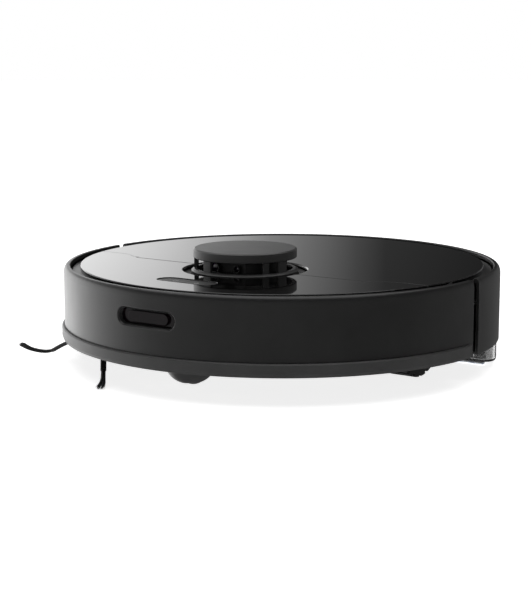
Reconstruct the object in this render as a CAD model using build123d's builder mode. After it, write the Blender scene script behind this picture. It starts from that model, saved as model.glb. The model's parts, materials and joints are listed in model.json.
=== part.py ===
from build123d import *
import os
from math import asin, cos, degrees, radians, sin, sqrt

# Round robot vacuum cleaner with a laser turret and a rear water tank with a mop.
# Millimetres. The origin is on the floor, under the axis of the round body.
# -Y is the driving direction (front), +X is the robot's left side, +Z is up.

os.makedirs("parts", exist_ok=True)

# ---------------------------------------------------------------- driving dimensions
# Outer shell
body_radius = 175.0
shell_bottom = 22.0
crest_z = 79.6
shell_wall = 2.7
rim_inner_radius = 169.7
rim_flat_radius = 172.0
rim_round_height = 5.5
rim_underside = 76.4
channel_front = -1.8
channel_back = 7.3
lip_thickness = 2.0
bumper_lip_radius = 166.0

# Lower skirt of the bumper
skirt_seat_radius = 174.2
skirt_radius = 177.2
skirt_top = 32.3
skirt_end = -7.6

# Front sensor slot
slot_length = 54.0
slot_height = 14.4
slot_z = 58.6
slot_chamfer = 1.2
wall_sensor_azimuth = -74.0
wall_sensor_z = 52.0

# Base tray
base_radius = 160.0
base_underside = 19.5
base_thickness = 2.5
wall_radius = 166.5
wall_thickness = 2.0
wall_step_z = 28.0
tank_ceiling = 22.3
tank_front = 57.0

# Lid and gutter
frame_radius = 168.0
frame_z = 73.6
frame_thickness = 2.0
lid_radius = 161.8
lid_top = 79.4
lid_thickness = 2.0
seam_y = -52.0
step_seam_y = -48.4
wing_seam_y = -40.0
jog_inner_x = 110.0
jog_outer_x = 133.0
seam_gap = 0.5

# Flap hinge
nose_radius = 1.5
hinge_y = -50.2
hinge_z = lid_top - nose_radius
hinge_pin_radius = 0.75
pin_clearance = 0.05

# Laser turret
turret_y = -50.5
well_radius = 48.5
cap_radius = 40.4
cap_top = 96.5
cap_bottom = 89.1
cap_inner_radius = 37.5
flange_radius = 42.0
flange_bottom = 78.4
flange_top = 80.0
bowl_radius = 43.9
bowl_bottom = 62.0
drum_radius = 30.5
drum_pulley_radius = 26.0
motor_pulley_radius = 4.0
motor_pulley_offset = 36.0
# Pillars between flange and cap: middle azimuth from the front, and width, in degrees
pillars = [(-11.5, 11.5), (59.5, 7.2), (82.0, 12.9), (165.0, 12.0), (-125.0, 12.0), (-62.0, 12.0)]

# Buttons
pill_length = 52.5
pill_width = 18.5
pill_y = -124.5
key_gap = 0.3
key_top = lid_top - 0.5
key_x = 13.0

# Main brush
brush_y = 2.0
brush_z = 24.0
brush_radius = 22.5
brush_half_length = 79.0
brush_core_radius = 8.0
journal_radius = 3.0
brush_chamber_radius = 24.5
brush_chamber_x = 82.0
guard_half_x = 90.0
guard_bottom = 17.3
gearbox_x = 90.8

# Drive wheels
wheel_x = 118.0
wheel_y = 2.5
wheel_radius = 34.5
wheel_width = 20.0
hub_radius = 27.5
axle_radius = 4.0
pivot_y = 44.0
pivot_z = 40.0
pivot_pin_radius = 2.5
arm_inner_x = 93.5
arm_outer_x = 105.5

# Caster
caster_y = -121.0
caster_trail = 3.0
caster_wheel_radius = 10.5
caster_wheel_width = 12.0
caster_pin_radius = 4.0
caster_axle_radius = 1.5
dome_radius = 19.8

# Side brush
side_x = -96.0
side_y = -109.0
side_hub_radius = 12.0
side_arm_width = 4.6
side_arm_thickness = 2.9
side_first_arm = -173.9
# middle lines of the arms, as (distance from the axis, height): rubber root, then bristles
rubber_line = [(8, 16.3), (33, 16.3), (38, 15.0), (50.5, 8.0)]
# one bundle of bristles curls up, the others reach down to the floor
bristle_lines = [
    [(50.5, 8.0), (57, 6.4), (66, 6.4), (73, 7.3), (78.4, 8.6)],
    [(50.5, 8.0), (60, 5.8), (72, 3.4), (82, 1.9)],
    [(50.5, 8.0), (60, 5.9), (72, 3.6), (82, 2.1)],
]

# Water tank and mop
tank_radius = 173.3
tank_bottom = 4.2
tank_top = 21.7
tank_lid_thickness = 1.9
tank_wall = 2.2
tank_corner = 10.0
mop_inset = 9.0
mop_plate_bottom = 2.6
clip_azimuth = 148.0
clip_length = 26.0
clip_height = 9.0
clip_z = 12.0
stopper_x = -120.0
stopper_y = 92.0

# Dust bin and its bay
bin_x = 84.0
bin_front = 33.0
bin_back = 125.0
bin_bottom = 46.0
bin_top = 68.0
bay_floor = 43.0

# Battery compartment
battery_x = 58.0
battery_y = -93.0
battery_length = 68.0
battery_width = 70.0
battery_screw = (58.0, -53.5)
cell_radius = 8.5
cell_length = 64.0

# Circuit boards
board_z = 50.0
board_thickness = 1.6
board_posts = [(-62, -120), (-40, -101.5), (19.8, -101), (40, -131.3)]
key_board_z = 68.6
receiver_y = -154.8

# Fastenings of the base tray
screw_hole_radius = 1.7
screw_shank_radius = 1.6
screw_places = [(-148, -30), (148, -30), (-80, -132.5), (80, -132.5), (-125, -72), (125, -72),
                (-30, 38), (30, 38), battery_screw]

# Openings and contacts in the base tray
cliff_azimuths = (-70, -24, 24, 70)
cliff_radius = 150.0
contact_x = 36.0
contact_y = -139.0
tongue_x = 60.0

# Fan
fan_x = 111.5
fan_y = 84.0

wide = 400.0


def radial_plane(azimuth, radius, z):
    """Plane facing outwards on the round body; azimuth is from the front, towards +X."""
    turn = radians(azimuth)
    outward = (sin(turn), -cos(turn), 0)
    tangent = (cos(turn), sin(turn), 0)
    place = (radius * outward[0], radius * outward[1], z)
    return Plane(origin=place, x_dir=tangent, z_dir=outward)


def write(builder, name):
    """Labels the finished piece and writes its file."""
    builder.part.label = name
    export_step(builder.part, f"parts/{name}.step")


def ring_profile():
    """Section of the round outer wall with its rolled top rim, on the XZ plane."""
    inner = body_radius - shell_wall
    round_z = crest_z - rim_round_height
    with BuildSketch(Plane.XZ) as profile:
        with BuildLine():
            Line((body_radius, shell_bottom), (body_radius, round_z))
            EllipticalCenterArc((rim_flat_radius, round_z), body_radius - rim_flat_radius,
                                rim_round_height, 0, arc_size=90)
            Polyline((rim_flat_radius, crest_z), (rim_inner_radius + 0.5, crest_z),
                     (rim_inner_radius, crest_z - 0.5), (rim_inner_radius, rim_underside),
                     (inner, rim_underside), (inner, shell_bottom), (body_radius, shell_bottom))
        make_face()
    return profile.sketch


# ---------------------------------------------------------------- bumper
def skirt_section(outer_radius):
    """Section of the band along the bumper's foot."""
    with BuildSketch(Plane.XZ) as profile:
        with BuildLine():
            Polyline((skirt_seat_radius, skirt_top), (skirt_seat_radius, shell_bottom),
                     (outer_radius - 0.9, shell_bottom), (outer_radius, shell_bottom + 2.2),
                     (outer_radius, skirt_top - 1.0), (outer_radius - 0.9, skirt_top),
                     (skirt_seat_radius, skirt_top))
        make_face()
    return profile.sketch


def make_bumper_skirt():
    with BuildPart() as skirt:
        add(skirt_section(skirt_radius))
        revolve(axis=Axis.Z)
        split(bisect_by=Plane.XZ.offset(-skirt_end), keep=Keep.TOP)
        edges_below = skirt.edges().filter_by(GeomType.CIRCLE).group_by(Axis.Z)[0]
        fillet(edges_below.sort_by(SortBy.RADIUS)[-1], 0.4)
    write(skirt, "bumper_skirt")


def make_bumper_shell():
    inner = body_radius - shell_wall
    with BuildPart() as seat:
        with BuildSketch(Plane.XZ):
            with Locations((skirt_seat_radius, shell_bottom - 1)):
                Rectangle(5, skirt_top - shell_bottom + 1, align=(Align.MIN, Align.MIN))
        revolve(axis=Axis.Z)
        split(bisect_by=Plane.XZ.offset(-skirt_end), keep=Keep.TOP)
    with BuildPart() as bumper:
        add(ring_profile())
        revolve(axis=Axis.Z)
        with BuildSketch(Plane.XY.offset(shell_bottom)):
            Circle(inner)
            Circle(bumper_lip_radius, mode=Mode.SUBTRACT)
        extrude(amount=lip_thickness)
        # stiffening rib inside the wall, above the sensor slot
        with BuildSketch(Plane.XY.offset(44.0)):
            Circle(inner)
            Circle(inner - 1.2, mode=Mode.SUBTRACT)
        extrude(amount=1.6)
        split(bisect_by=Plane.XZ.offset(-channel_front), keep=Keep.TOP)
        add(seat.part, mode=Mode.SUBTRACT)
        with BuildSketch(Plane.XZ.offset(body_radius + 1)):
            with Locations((0, slot_z)):
                SlotOverall(slot_length - 2 * slot_chamfer, slot_height - 2 * slot_chamfer)
        extrude(amount=-12, mode=Mode.SUBTRACT)
        mouth = bumper.edges().filter_by_position(Axis.Y, -body_radius - 0.1, -172.9)
        mouth = mouth.filter_by_position(Axis.Z, slot_z - slot_height / 2, slot_z + slot_height / 2)
        chamfer(mouth, slot_chamfer)
        # window of the wall-following sensor on the right side
        with BuildSketch(radial_plane(wall_sensor_azimuth, body_radius + 1, wall_sensor_z)):
            SlotOverall(18, 8)
        extrude(amount=-10, mode=Mode.SUBTRACT)
    write(bumper, "bumper_shell")


def make_dock_bezel():
    """Black tray behind the front slot."""
    inner = body_radius - shell_wall
    with BuildPart() as bezel:
        with BuildSketch(Plane.XZ.offset(body_radius)):
            with Locations((0, slot_z)):
                SlotOverall(slot_length + 5, slot_height + 5)
                SlotOverall(slot_length - 2 * slot_chamfer, slot_height - 2 * slot_chamfer,
                            mode=Mode.SUBTRACT)
        extrude(amount=-10)
        with BuildSketch(Plane.XY.offset(slot_z - 20)):
            Circle(inner)
        extrude(amount=40, mode=Mode.INTERSECT)
        with BuildSketch(Plane.XZ.offset(body_radius - 10)):
            with Locations((0, slot_z)):
                SlotOverall(slot_length + 5, slot_height + 5)
        extrude(amount=-1.2)
    write(bezel, "dock_bezel")


def make_dock_window():
    """Infrared window that sits in the tray, with a raised middle."""
    clear = 0.1
    length = slot_length - 2 * slot_chamfer - 2 * clear
    height = slot_height - 2 * slot_chamfer - 2 * clear
    with BuildPart() as window:
        with BuildSketch(Plane.XZ.offset(body_radius - 10)):
            with Locations((0, slot_z)):
                SlotOverall(length, height)
        extrude(amount=3.5)
        with BuildSketch(Plane.XZ.offset(body_radius - 6.5)):
            with Locations((0, slot_z)):
                SlotOverall(length - 14, height - 3)
        extrude(amount=2.2)
        fillet(window.faces().sort_by(Axis.Y)[0].edges(), 0.6)
    write(window, "dock_window")


def make_wall_sensor_window():
    with BuildPart() as window:
        with BuildSketch(radial_plane(wall_sensor_azimuth, body_radius - 6, wall_sensor_z)):
            SlotOverall(17.8, 7.8)
        extrude(amount=5.2)
        with BuildSketch(radial_plane(wall_sensor_azimuth, body_radius - 6, wall_sensor_z)):
            SlotOverall(22, 11)
        extrude(amount=2.6)
    write(window, "wall_sensor_window")


# ---------------------------------------------------------------- fixed shell
def make_rear_housing():
    inner = body_radius - shell_wall
    with BuildPart() as housing:
        add(ring_profile())
        revolve(axis=Axis.Z)
        for height, radius in ((shell_bottom, base_radius + 0.3), (60.0, wall_radius)):
            with BuildSketch(Plane.XY.offset(height)):
                Circle(inner)
                Circle(radius, mode=Mode.SUBTRACT)
            extrude(amount=lip_thickness)
        split(bisect_by=Plane.XZ.offset(-channel_back), keep=Keep.BOTTOM)
        # exhaust slots on the rear left
        for row in range(15):
            with BuildSketch(radial_plane(134 + 2.1 * row, body_radius + 1, 46)):
                SlotOverall(15, 2.4, rotation=90)
            extrude(amount=-6, mode=Mode.SUBTRACT)
    write(housing, "rear_housing")


def battery_plan(z):
    """Plan of the battery opening with its screw tab."""
    with BuildSketch(Plane.XY.offset(z)) as plan:
        with Locations((battery_x, battery_y)):
            Rectangle(battery_length, battery_width)
        with Locations(battery_screw):
            Rectangle(12, 9)
    return plan.sketch


def make_base_plate():
    top = base_underside + base_thickness
    with BuildPart() as base:
        with BuildSketch(Plane.XZ):
            with BuildLine():
                Polyline((0, base_underside), (base_radius, base_underside),
                         (base_radius, wall_step_z - 2), (wall_radius, wall_step_z),
                         (wall_radius, frame_z), (wall_radius - wall_thickness, frame_z),
                         (wall_radius - wall_thickness, wall_step_z + 1),
                         (base_radius - wall_thickness, wall_step_z - 1),
                         (base_radius - wall_thickness, top), (0, top), close=True)
            make_face()
        revolve(axis=Axis.Z)
        # raised ceiling over the water tank
        with BuildSketch(Plane.XY.offset(base_underside - 1)):
            with Locations((0, tank_front - 1.5)):
                Rectangle(wide, wide, align=(Align.CENTER, Align.MIN))
        extrude(amount=tank_ceiling - base_underside + 1, mode=Mode.SUBTRACT)
        with BuildSketch(Plane.XY.offset(tank_ceiling)):
            Circle(base_radius)
            with Locations((0, tank_front - 3.5)):
                Rectangle(wide, wide, align=(Align.CENTER, Align.MIN), mode=Mode.INTERSECT)
        extrude(amount=base_thickness)
        with BuildSketch(Plane.XY.offset(base_underside)):
            Circle(base_radius)
            with Locations((0, tank_front - 3.5)):
                Rectangle(wide, 2.0, align=(Align.CENTER, Align.MIN), mode=Mode.INTERSECT)
        extrude(amount=tank_ceiling - base_underside)
        # pockets for the tank's two tongues
        with Locations((tongue_x, tank_front - 4, top), (-tongue_x, tank_front - 4, top)):
            Box(27, 12, 2, align=(Align.CENTER, Align.MAX, Align.MIN))
        # openings for what passes through the floor of the tray
        with BuildSketch(Plane.XY.offset(base_underside - 1)):
            with Locations((0, brush_y)):
                Rectangle(2 * (brush_chamber_x + 1.8), 46.6)
            for side in (-1, 1):
                with Locations((side * 111.8, 8)):
                    Rectangle(38.4, 88)
            add(battery_plan(base_underside - 1))
            with Locations((side_x, side_y)):
                Circle(14.5)
            with Locations((0, caster_y)):
                Circle(dome_radius + 0.5)
            with Locations((-contact_x, contact_y), (contact_x, contact_y)):
                Rectangle(24, 8)
            for azimuth in cliff_azimuths:
                spot = radial_plane(azimuth, cliff_radius, 0).origin
                with Locations(Location((spot.X, spot.Y), azimuth)):
                    Rectangle(18, 9)
            with Locations(*screw_places):
                Circle(screw_hole_radius)
        extrude(amount=base_thickness + 1, mode=Mode.SUBTRACT)
        with Locations((tongue_x, tank_front, 20.0), (-tongue_x, tank_front, 20.0)):
            Box(23, 14, 2.3, align=(Align.CENTER, Align.MAX, Align.MIN), mode=Mode.SUBTRACT)
        # opening in the front wall for the docking receiver
        with Locations((0, -wall_radius, slot_z)):
            Box(64, 16, 23, mode=Mode.SUBTRACT)
        with BuildSketch(radial_plane(wall_sensor_azimuth, wall_radius + 2, wall_sensor_z)):
            Rectangle(32, 16)
        extrude(amount=-12, mode=Mode.SUBTRACT)
        # posts under the circuit board
        with BuildSketch(Plane.XY.offset(top)):
            with Locations(*board_posts):
                Circle(2.5)
        extrude(amount=board_z - top)
    write(base, "base_plate")


def make_base_screws():
    with BuildPart() as screws:
        with Locations(*[(x, y, base_underside - 0.9) for x, y in screw_places]):
            Cylinder(3.0, 0.9, align=(Align.CENTER, Align.CENTER, Align.MIN))
            Cylinder(screw_shank_radius, 8, align=(Align.CENTER, Align.CENTER, Align.MIN))
        with BuildSketch(Plane.XY.offset(base_underside - 0.9)):
            for x, y in screw_places:
                with Locations((x, y)):
                    Rectangle(3.2, 0.8)
                    Rectangle(0.8, 3.2)
        extrude(amount=0.5, mode=Mode.SUBTRACT)
    write(screws, "base_screws")


def make_cliff_windows():
    with BuildPart() as windows:
        for azimuth in cliff_azimuths:
            spot = radial_plane(azimuth, cliff_radius, 0).origin
            with BuildSketch(Plane.XY.offset(base_underside + 0.4)):
                with Locations(Location((spot.X, spot.Y), azimuth)):
                    Rectangle(18, 9)
                    Rectangle(9, 1, mode=Mode.SUBTRACT)
            extrude(amount=4)
    write(windows, "cliff_windows")


def make_charge_contacts():
    with BuildPart() as contacts:
        with Locations((-contact_x, contact_y, base_underside - 0.5),
                       (contact_x, contact_y, base_underside - 0.5)):
            Box(24, 8, 2.4, align=(Align.CENTER, Align.CENTER, Align.MIN))
        fillet(contacts.faces().group_by(Axis.Z)[0].edges(), 0.4)
    write(contacts, "charge_contacts")


# ---------------------------------------------------------------- lid
def lid_disc():
    """Whole round lid with its bevelled rim, before the seam divides it."""
    with BuildPart() as disc:
        with BuildSketch(Plane.XY.offset(lid_top - lid_thickness)):
            Circle(lid_radius)
        extrude(amount=lid_thickness)
        chamfer(disc.faces().sort_by(Axis.Z)[-1].edges(), 0.45)
    return disc.part


def seam_face(gap):
    """Plan ahead of the seam, grown by gap along it, and running past the lid's rim.

    The seam follows the hinge, steps square off it, and only then sweeps back to the rim,
    so the flap's edge lifts clear of the deck as it opens.
    """
    reach = lid_radius + 6
    step_x = jog_inner_x - gap
    middle_x = (jog_inner_x + jog_outer_x) / 2
    middle_y = (step_seam_y + wing_seam_y) / 2 + gap
    edge_y = wing_seam_y + gap
    edge_x = sqrt(reach**2 - edge_y**2)
    with BuildSketch() as plan:
        with BuildLine():
            straight = Line((0, seam_y + gap), (step_x, seam_y + gap))
            step = Line(straight @ 1, (step_x, step_seam_y + gap))
            rise = TangentArc(step @ 1, (middle_x, middle_y), tangent=(1, 0))
            settle = TangentArc(rise @ 1, (jog_outer_x, edge_y), tangent=rise % 1)
            wing = Line(settle @ 1, (edge_x, edge_y))
            rim = ThreePointArc(wing @ 1, (reach * sin(radians(35)), -reach * cos(radians(35))),
                                (0, -reach))
            Line(rim @ 1, (0, seam_y + gap))
        make_face()
        mirror(about=Plane.YZ)
    return plan.sketch


def make_front_deck():
    with BuildPart() as deck:
        add(lid_disc())
        with BuildSketch(Plane.XY.offset(lid_top - lid_thickness - 1)):
            add(seam_face(0))
            with Locations((0, turret_y)):
                Circle(well_radius, mode=Mode.SUBTRACT)
            with Locations((0, pill_y)):
                SlotOverall(pill_length, pill_width, mode=Mode.SUBTRACT)
        extrude(amount=lid_thickness + 2, mode=Mode.INTERSECT)
        upper = deck.faces().sort_by(Axis.Z)[-1]
        rings = upper.edges().filter_by(GeomType.CIRCLE)
        well_edge = rings.filter_by(lambda edge: abs(edge.radius - well_radius) < 0.1)
        chamfer(well_edge, 0.8)
        # rim skirt and pillars that carry the deck on the frame
        skirt_height = lid_top - lid_thickness - frame_z - frame_thickness
        with BuildSketch(Plane.XY.offset(frame_z + frame_thickness)):
            add(seam_face(0))
            Circle(lid_radius, mode=Mode.INTERSECT)
            Circle(lid_radius - 2, mode=Mode.SUBTRACT)
        extrude(amount=skirt_height)
        with BuildSketch(Plane.XY.offset(frame_z + frame_thickness)):
            with Locations((-110, -70), (110, -70), (-60, -112), (60, -112), (-75, -62), (75, -62)):
                Circle(3)
        extrude(amount=skirt_height)
        # tray under the two keys, with holes for their stems
        with BuildSketch(Plane.XY.offset(frame_z + frame_thickness)):
            with Locations((0, pill_y)):
                SlotOverall(pill_length + 4, pill_width + 4)
        extrude(amount=skirt_height)
        with BuildSketch(Plane.XY.offset(frame_z + frame_thickness + 0.6)):
            with Locations((0, pill_y)):
                SlotOverall(pill_length, pill_width)
        extrude(amount=skirt_height, mode=Mode.SUBTRACT)
        with BuildSketch(Plane.XY.offset(frame_z + frame_thickness)):
            with Locations((-key_x, pill_y), (key_x, pill_y)):
                Circle(2.6)
        extrude(amount=1, mode=Mode.SUBTRACT)
    write(deck, "front_deck")


def make_rear_flap():
    with BuildPart() as flap:
        add(lid_disc())
        with BuildSketch(Plane.XY.offset(lid_top - lid_thickness - 1)):
            add(seam_face(seam_gap))
            with Locations((0, turret_y)):
                Circle(well_radius)
            # room for the hinge nose, which stands ahead of the panel
            with Locations((0, seam_y)):
                Rectangle(2 * jog_inner_x, 2 * (hinge_y - seam_y))
        extrude(amount=lid_thickness + 2, mode=Mode.SUBTRACT)
        upper = flap.faces().sort_by(Axis.Z)[-1]
        rings = upper.edges().filter_by(GeomType.CIRCLE)
        well_edge = rings.filter_by(lambda edge: abs(edge.radius - well_radius) < 0.1)
        chamfer(well_edge, 0.8)
        # rounded nose along the hinge line, on both sides of the turret
        nose_length = jog_inner_x - seam_gap - well_radius - 0.4
        for side in (-1, 1):
            with BuildSketch(Plane.YZ.offset(side * (well_radius + 0.4))):
                with Locations((hinge_y, hinge_z)):
                    Circle(nose_radius)
            extrude(amount=side * nose_length)
        # rim skirt
        with BuildSketch(Plane.XY.offset(frame_z + frame_thickness)):
            Circle(lid_radius)
            Circle(lid_radius - 2, mode=Mode.SUBTRACT)
            add(seam_face(seam_gap), mode=Mode.SUBTRACT)
        extrude(amount=lid_top - lid_thickness - frame_z - frame_thickness)
        # bores for the hinge pins
        for side in (-1, 1):
            with BuildSketch(Plane.YZ.offset(side * (well_radius - 1))):
                with Locations((hinge_y, hinge_z)):
                    Circle(hinge_pin_radius)
            extrude(amount=side * 14, mode=Mode.SUBTRACT)
    write(flap, "rear_flap")


def make_hinge_pins():
    with BuildPart() as pins:
        for side in (-1, 1):
            with BuildSketch(Plane.YZ.offset(side * (well_radius - 3.4))):
                with Locations((hinge_y, hinge_z)):
                    Circle(hinge_pin_radius)
            extrude(amount=side * 16.4)
    write(pins, "hinge_pins")


def make_top_frame():
    """Fixed ring under the lid: its margin is the floor of the gutter."""
    with BuildPart() as frame:
        with BuildSketch(Plane.XY.offset(frame_z)):
            Circle(frame_radius)
            with Locations((0, turret_y)):
                Circle(bowl_radius + 0.3, mode=Mode.SUBTRACT)
            with Locations((0, (bin_front + bin_back) / 2)):
                RectangleRounded(2 * bin_x + 4.6, bin_back - bin_front + 4.4, 8, mode=Mode.SUBTRACT)
            with Locations((-key_x, pill_y), (key_x, pill_y)):
                Circle(2.8, mode=Mode.SUBTRACT)
        extrude(amount=frame_thickness)
        # small locating tabs across the gutter, one at each side
        for side in (-1, 1):
            with Locations((side * 163.6, -19, frame_z + frame_thickness)):
                Box(3.2, 4, 2.4, align=(Align.CENTER, Align.CENTER, Align.MIN))
    write(frame, "top_frame")


# ---------------------------------------------------------------- buttons
def make_key(side, name):
    """One half of the pill, with its stem."""
    with BuildPart() as key:
        with BuildSketch(Plane.XY.offset(key_top - 1.8)):
            with Locations((0, pill_y)):
                SlotOverall(pill_length - 2 * key_gap, pill_width - 2 * key_gap)
                with Locations((side * key_gap / 2, 0)):
                    Rectangle(wide, wide, align=(Align.MIN if side > 0 else Align.MAX, Align.CENTER),
                              mode=Mode.INTERSECT)
        extrude(amount=1.8)
        fillet(key.faces().sort_by(Axis.Z)[-1].edges(), 0.35)
        with Locations((side * key_x, pill_y, 75.0)):
            Cylinder(2.0, key_top - 1.8 - 75.0, align=(Align.CENTER, Align.CENTER, Align.MIN))
    write(key, name)


# ---------------------------------------------------------------- laser turret
def make_turret_cap():
    """Cap, pillars and flange in one moulding."""
    with BuildPart() as cap:
        with BuildSketch(Plane.XZ):
            with BuildLine():
                Polyline((0, cap_top), (cap_radius - 1.2, cap_top), (cap_radius, cap_top - 0.9),
                         (cap_radius, cap_bottom + 0.5), (cap_radius - 0.5, cap_bottom),
                         (cap_inner_radius, cap_bottom), (cap_inner_radius, cap_top - 2.4),
                         (0, cap_top - 2.4), close=True)
            make_face()
        revolve(axis=Axis.Z)
        with BuildSketch(Plane.XZ):
            with BuildLine():
                Polyline((cap_inner_radius, flange_top + 0.6), (cap_radius - 0.7, flange_top + 0.6),
                         (flange_radius - 0.6, flange_top - 0.3), (flange_radius, flange_top - 0.8),
                         (flange_radius, flange_bottom + 0.3), (flange_radius - 0.4, flange_bottom),
                         (flange_radius - 0.4, 73.0), (flange_radius - 2.2, 73.0),
                         (flange_radius - 2.2, flange_bottom), (cap_inner_radius, flange_bottom),
                         close=True)
            make_face()
        revolve(axis=Axis.Z)
        for azimuth, width in pillars:
            with BuildSketch(Plane.XY.offset(flange_top)):
                Circle(cap_radius - 0.5)
                Circle(cap_inner_radius, mode=Mode.SUBTRACT)
                with BuildLine():
                    start = radial_plane(azimuth - width / 2, wide, 0).origin
                    end = radial_plane(azimuth + width / 2, wide, 0).origin
                    Polyline((0, 0), (start.X, start.Y), (end.X, end.Y), close=True)
                make_face(mode=Mode.INTERSECT)
            extrude(amount=cap_bottom - flange_top + 1)
    cap.part = Pos(0, turret_y, 0) * cap.part
    write(cap, "turret_cap")


def make_turret_base():
    """Bowl that carries the laser unit, with the lugs of the flap's hinge."""
    floor_top = bowl_bottom + 2
    with BuildPart() as bowl:
        with BuildSketch(Plane((0, turret_y, bowl_bottom))):
            Circle(bowl_radius)
        extrude(amount=14.2)
        with BuildSketch(Plane((0, turret_y, frame_z + frame_thickness))):
            Circle(well_radius - 0.3)
        extrude(amount=0.6)
        with BuildSketch(Plane((0, turret_y, floor_top))):
            Circle(bowl_radius - 2)
        extrude(amount=20, mode=Mode.SUBTRACT)
        for side in (-1, 1):
            with BuildSketch(Plane.YZ.offset(side * (well_radius - 3.4))):
                with Locations((hinge_y, hinge_z)):
                    Circle(nose_radius)
                    Rectangle(2 * nose_radius, 2.2, align=(Align.CENTER, Align.MAX))
                    Circle(hinge_pin_radius + pin_clearance, mode=Mode.SUBTRACT)
            extrude(amount=side * 3.1)
        # post for the drum, and the hole of the motor shaft
        with BuildSketch(Plane((0, turret_y, floor_top))):
            Circle(3)
        extrude(amount=20)
        with BuildSketch(Plane((-motor_pulley_offset, turret_y, bowl_bottom))):
            Circle(2.5)
        extrude(amount=2, mode=Mode.SUBTRACT)
    write(bowl, "turret_base")


def make_lidar_drum():
    """Spinning laser head: emitter and receiver barrels on a belt-driven disc."""
    groove = 67.0
    with BuildPart() as drum:
        with BuildSketch(Plane.XZ):
            with BuildLine():
                Polyline((3.05, 65.5), (drum_pulley_radius + 2, 65.5), (drum_pulley_radius + 2, 66.3),
                         (drum_pulley_radius, groove), (drum_pulley_radius, groove + 2.6),
                         (drum_pulley_radius + 2, groove + 3.3), (33.0, groove + 3.3), (33.0, 72.5),
                         (drum_radius, 74.5), (drum_radius, 87.0), (drum_radius - 1.2, 88.2), (0, 88.2),
                         (0, 84.5), (3.05, 84.5), close=True)
            make_face()
        revolve(axis=Axis.Z)
        # flat face with the two lens barrels
        with Locations((0, -drum_radius, 84.0)):
            Box(44, 12, 8, mode=Mode.SUBTRACT)
        for x, radius in ((-10, 4.6), (11, 3.2)):
            with BuildSketch(Plane.XZ.offset(drum_radius - 7)):
                with Locations((x, 83.0)):
                    Circle(radius)
            extrude(amount=3.5)
            with BuildSketch(Plane.XZ.offset(drum_radius - 3.5)):
                with Locations((x, 83.0)):
                    Circle(radius - 1)
            extrude(amount=-6, mode=Mode.SUBTRACT)
    drum.part = Pos(0, turret_y, 0) * drum.part
    write(drum, "lidar_drum")


def make_lidar_belt():
    height = 2.0
    gap = 0.3
    thickness = 1.0
    spread = degrees(asin((drum_pulley_radius - motor_pulley_radius) / motor_pulley_offset))
    with BuildPart() as belt:
        with BuildSketch(Plane((0, turret_y, 67.3))):
            for extra, mode in ((gap + thickness, Mode.ADD), (gap, Mode.SUBTRACT)):
                big = drum_pulley_radius + extra
                small = motor_pulley_radius + extra
                lean = (sin(radians(spread)), cos(radians(spread)))
                with BuildLine():
                    top_big = (-big * lean[0], big * lean[1])
                    top_small = (-motor_pulley_offset - small * lean[0], small * lean[1])
                    low_big = (top_big[0], -top_big[1])
                    low_small = (top_small[0], -top_small[1])
                    Line(top_big, top_small)
                    ThreePointArc(top_small, (-motor_pulley_offset - small, 0), low_small)
                    Line(low_small, low_big)
                    ThreePointArc(low_big, (big, 0), top_big)
                make_face(mode=mode)
        extrude(amount=height)
    write(belt, "lidar_belt")


def make_lidar_pulley():
    x = -motor_pulley_offset
    with BuildPart() as pulley:
        with BuildSketch(Plane((x, turret_y, bowl_bottom + 0.3))):
            Circle(1.5)
        extrude(amount=10)
        with BuildSketch(Plane((x, turret_y, 66.9))):
            Circle(motor_pulley_radius)
        extrude(amount=2.5)
        for height in (66.3, 69.4):
            with BuildSketch(Plane((x, turret_y, height))):
                Circle(motor_pulley_radius + 1.2)
            extrude(amount=0.6)
    write(pulley, "lidar_pulley")


# ---------------------------------------------------------------- main brush
def make_brush_housing():
    """Half-round chamber over the main brush, with the duct to the dust bin."""
    top = base_underside + base_thickness
    outer_x = brush_chamber_x + 1.8
    with BuildPart() as housing:
        with BuildSketch(Plane.YZ.offset(-outer_x)):
            with Locations((brush_y, brush_z)):
                Circle(brush_chamber_radius + 1.8)
        extrude(amount=2 * outer_x)
        with Locations((0, 15.6, 41)):
            Box(76, 13.6, 17, align=(Align.CENTER, Align.MIN, Align.MIN))
        with BuildSketch(Plane.YZ.offset(-brush_chamber_x)):
            with Locations((brush_y, brush_z)):
                Circle(brush_chamber_radius)
        extrude(amount=2 * brush_chamber_x, mode=Mode.SUBTRACT)
        with Locations((0, 12, 44.5)):
            Box(68, 20, 11, align=(Align.CENTER, Align.MIN, Align.MIN), mode=Mode.SUBTRACT)
        with Locations((0, 12, 35)):
            Box(68, 10, 14, align=(Align.CENTER, Align.MIN, Align.MIN), mode=Mode.SUBTRACT)
        with Locations((0, 0, top)):
            Box(wide, wide, wide, align=(Align.CENTER, Align.CENTER, Align.MAX), mode=Mode.SUBTRACT)
        # end walls carry the brush journals
        for side in (-1, 1):
            with Locations((side * (brush_chamber_x + 0.9), brush_y, base_underside)):
                Box(1.8, 20, 12, align=(Align.CENTER, Align.CENTER, Align.MIN))
        with BuildSketch(Plane.YZ.offset(-outer_x - 1)):
            with Locations((brush_y, brush_z)):
                Circle(journal_radius + pin_clearance)
        extrude(amount=2 * outer_x + 2, mode=Mode.SUBTRACT)
    write(housing, "brush_housing")


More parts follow.
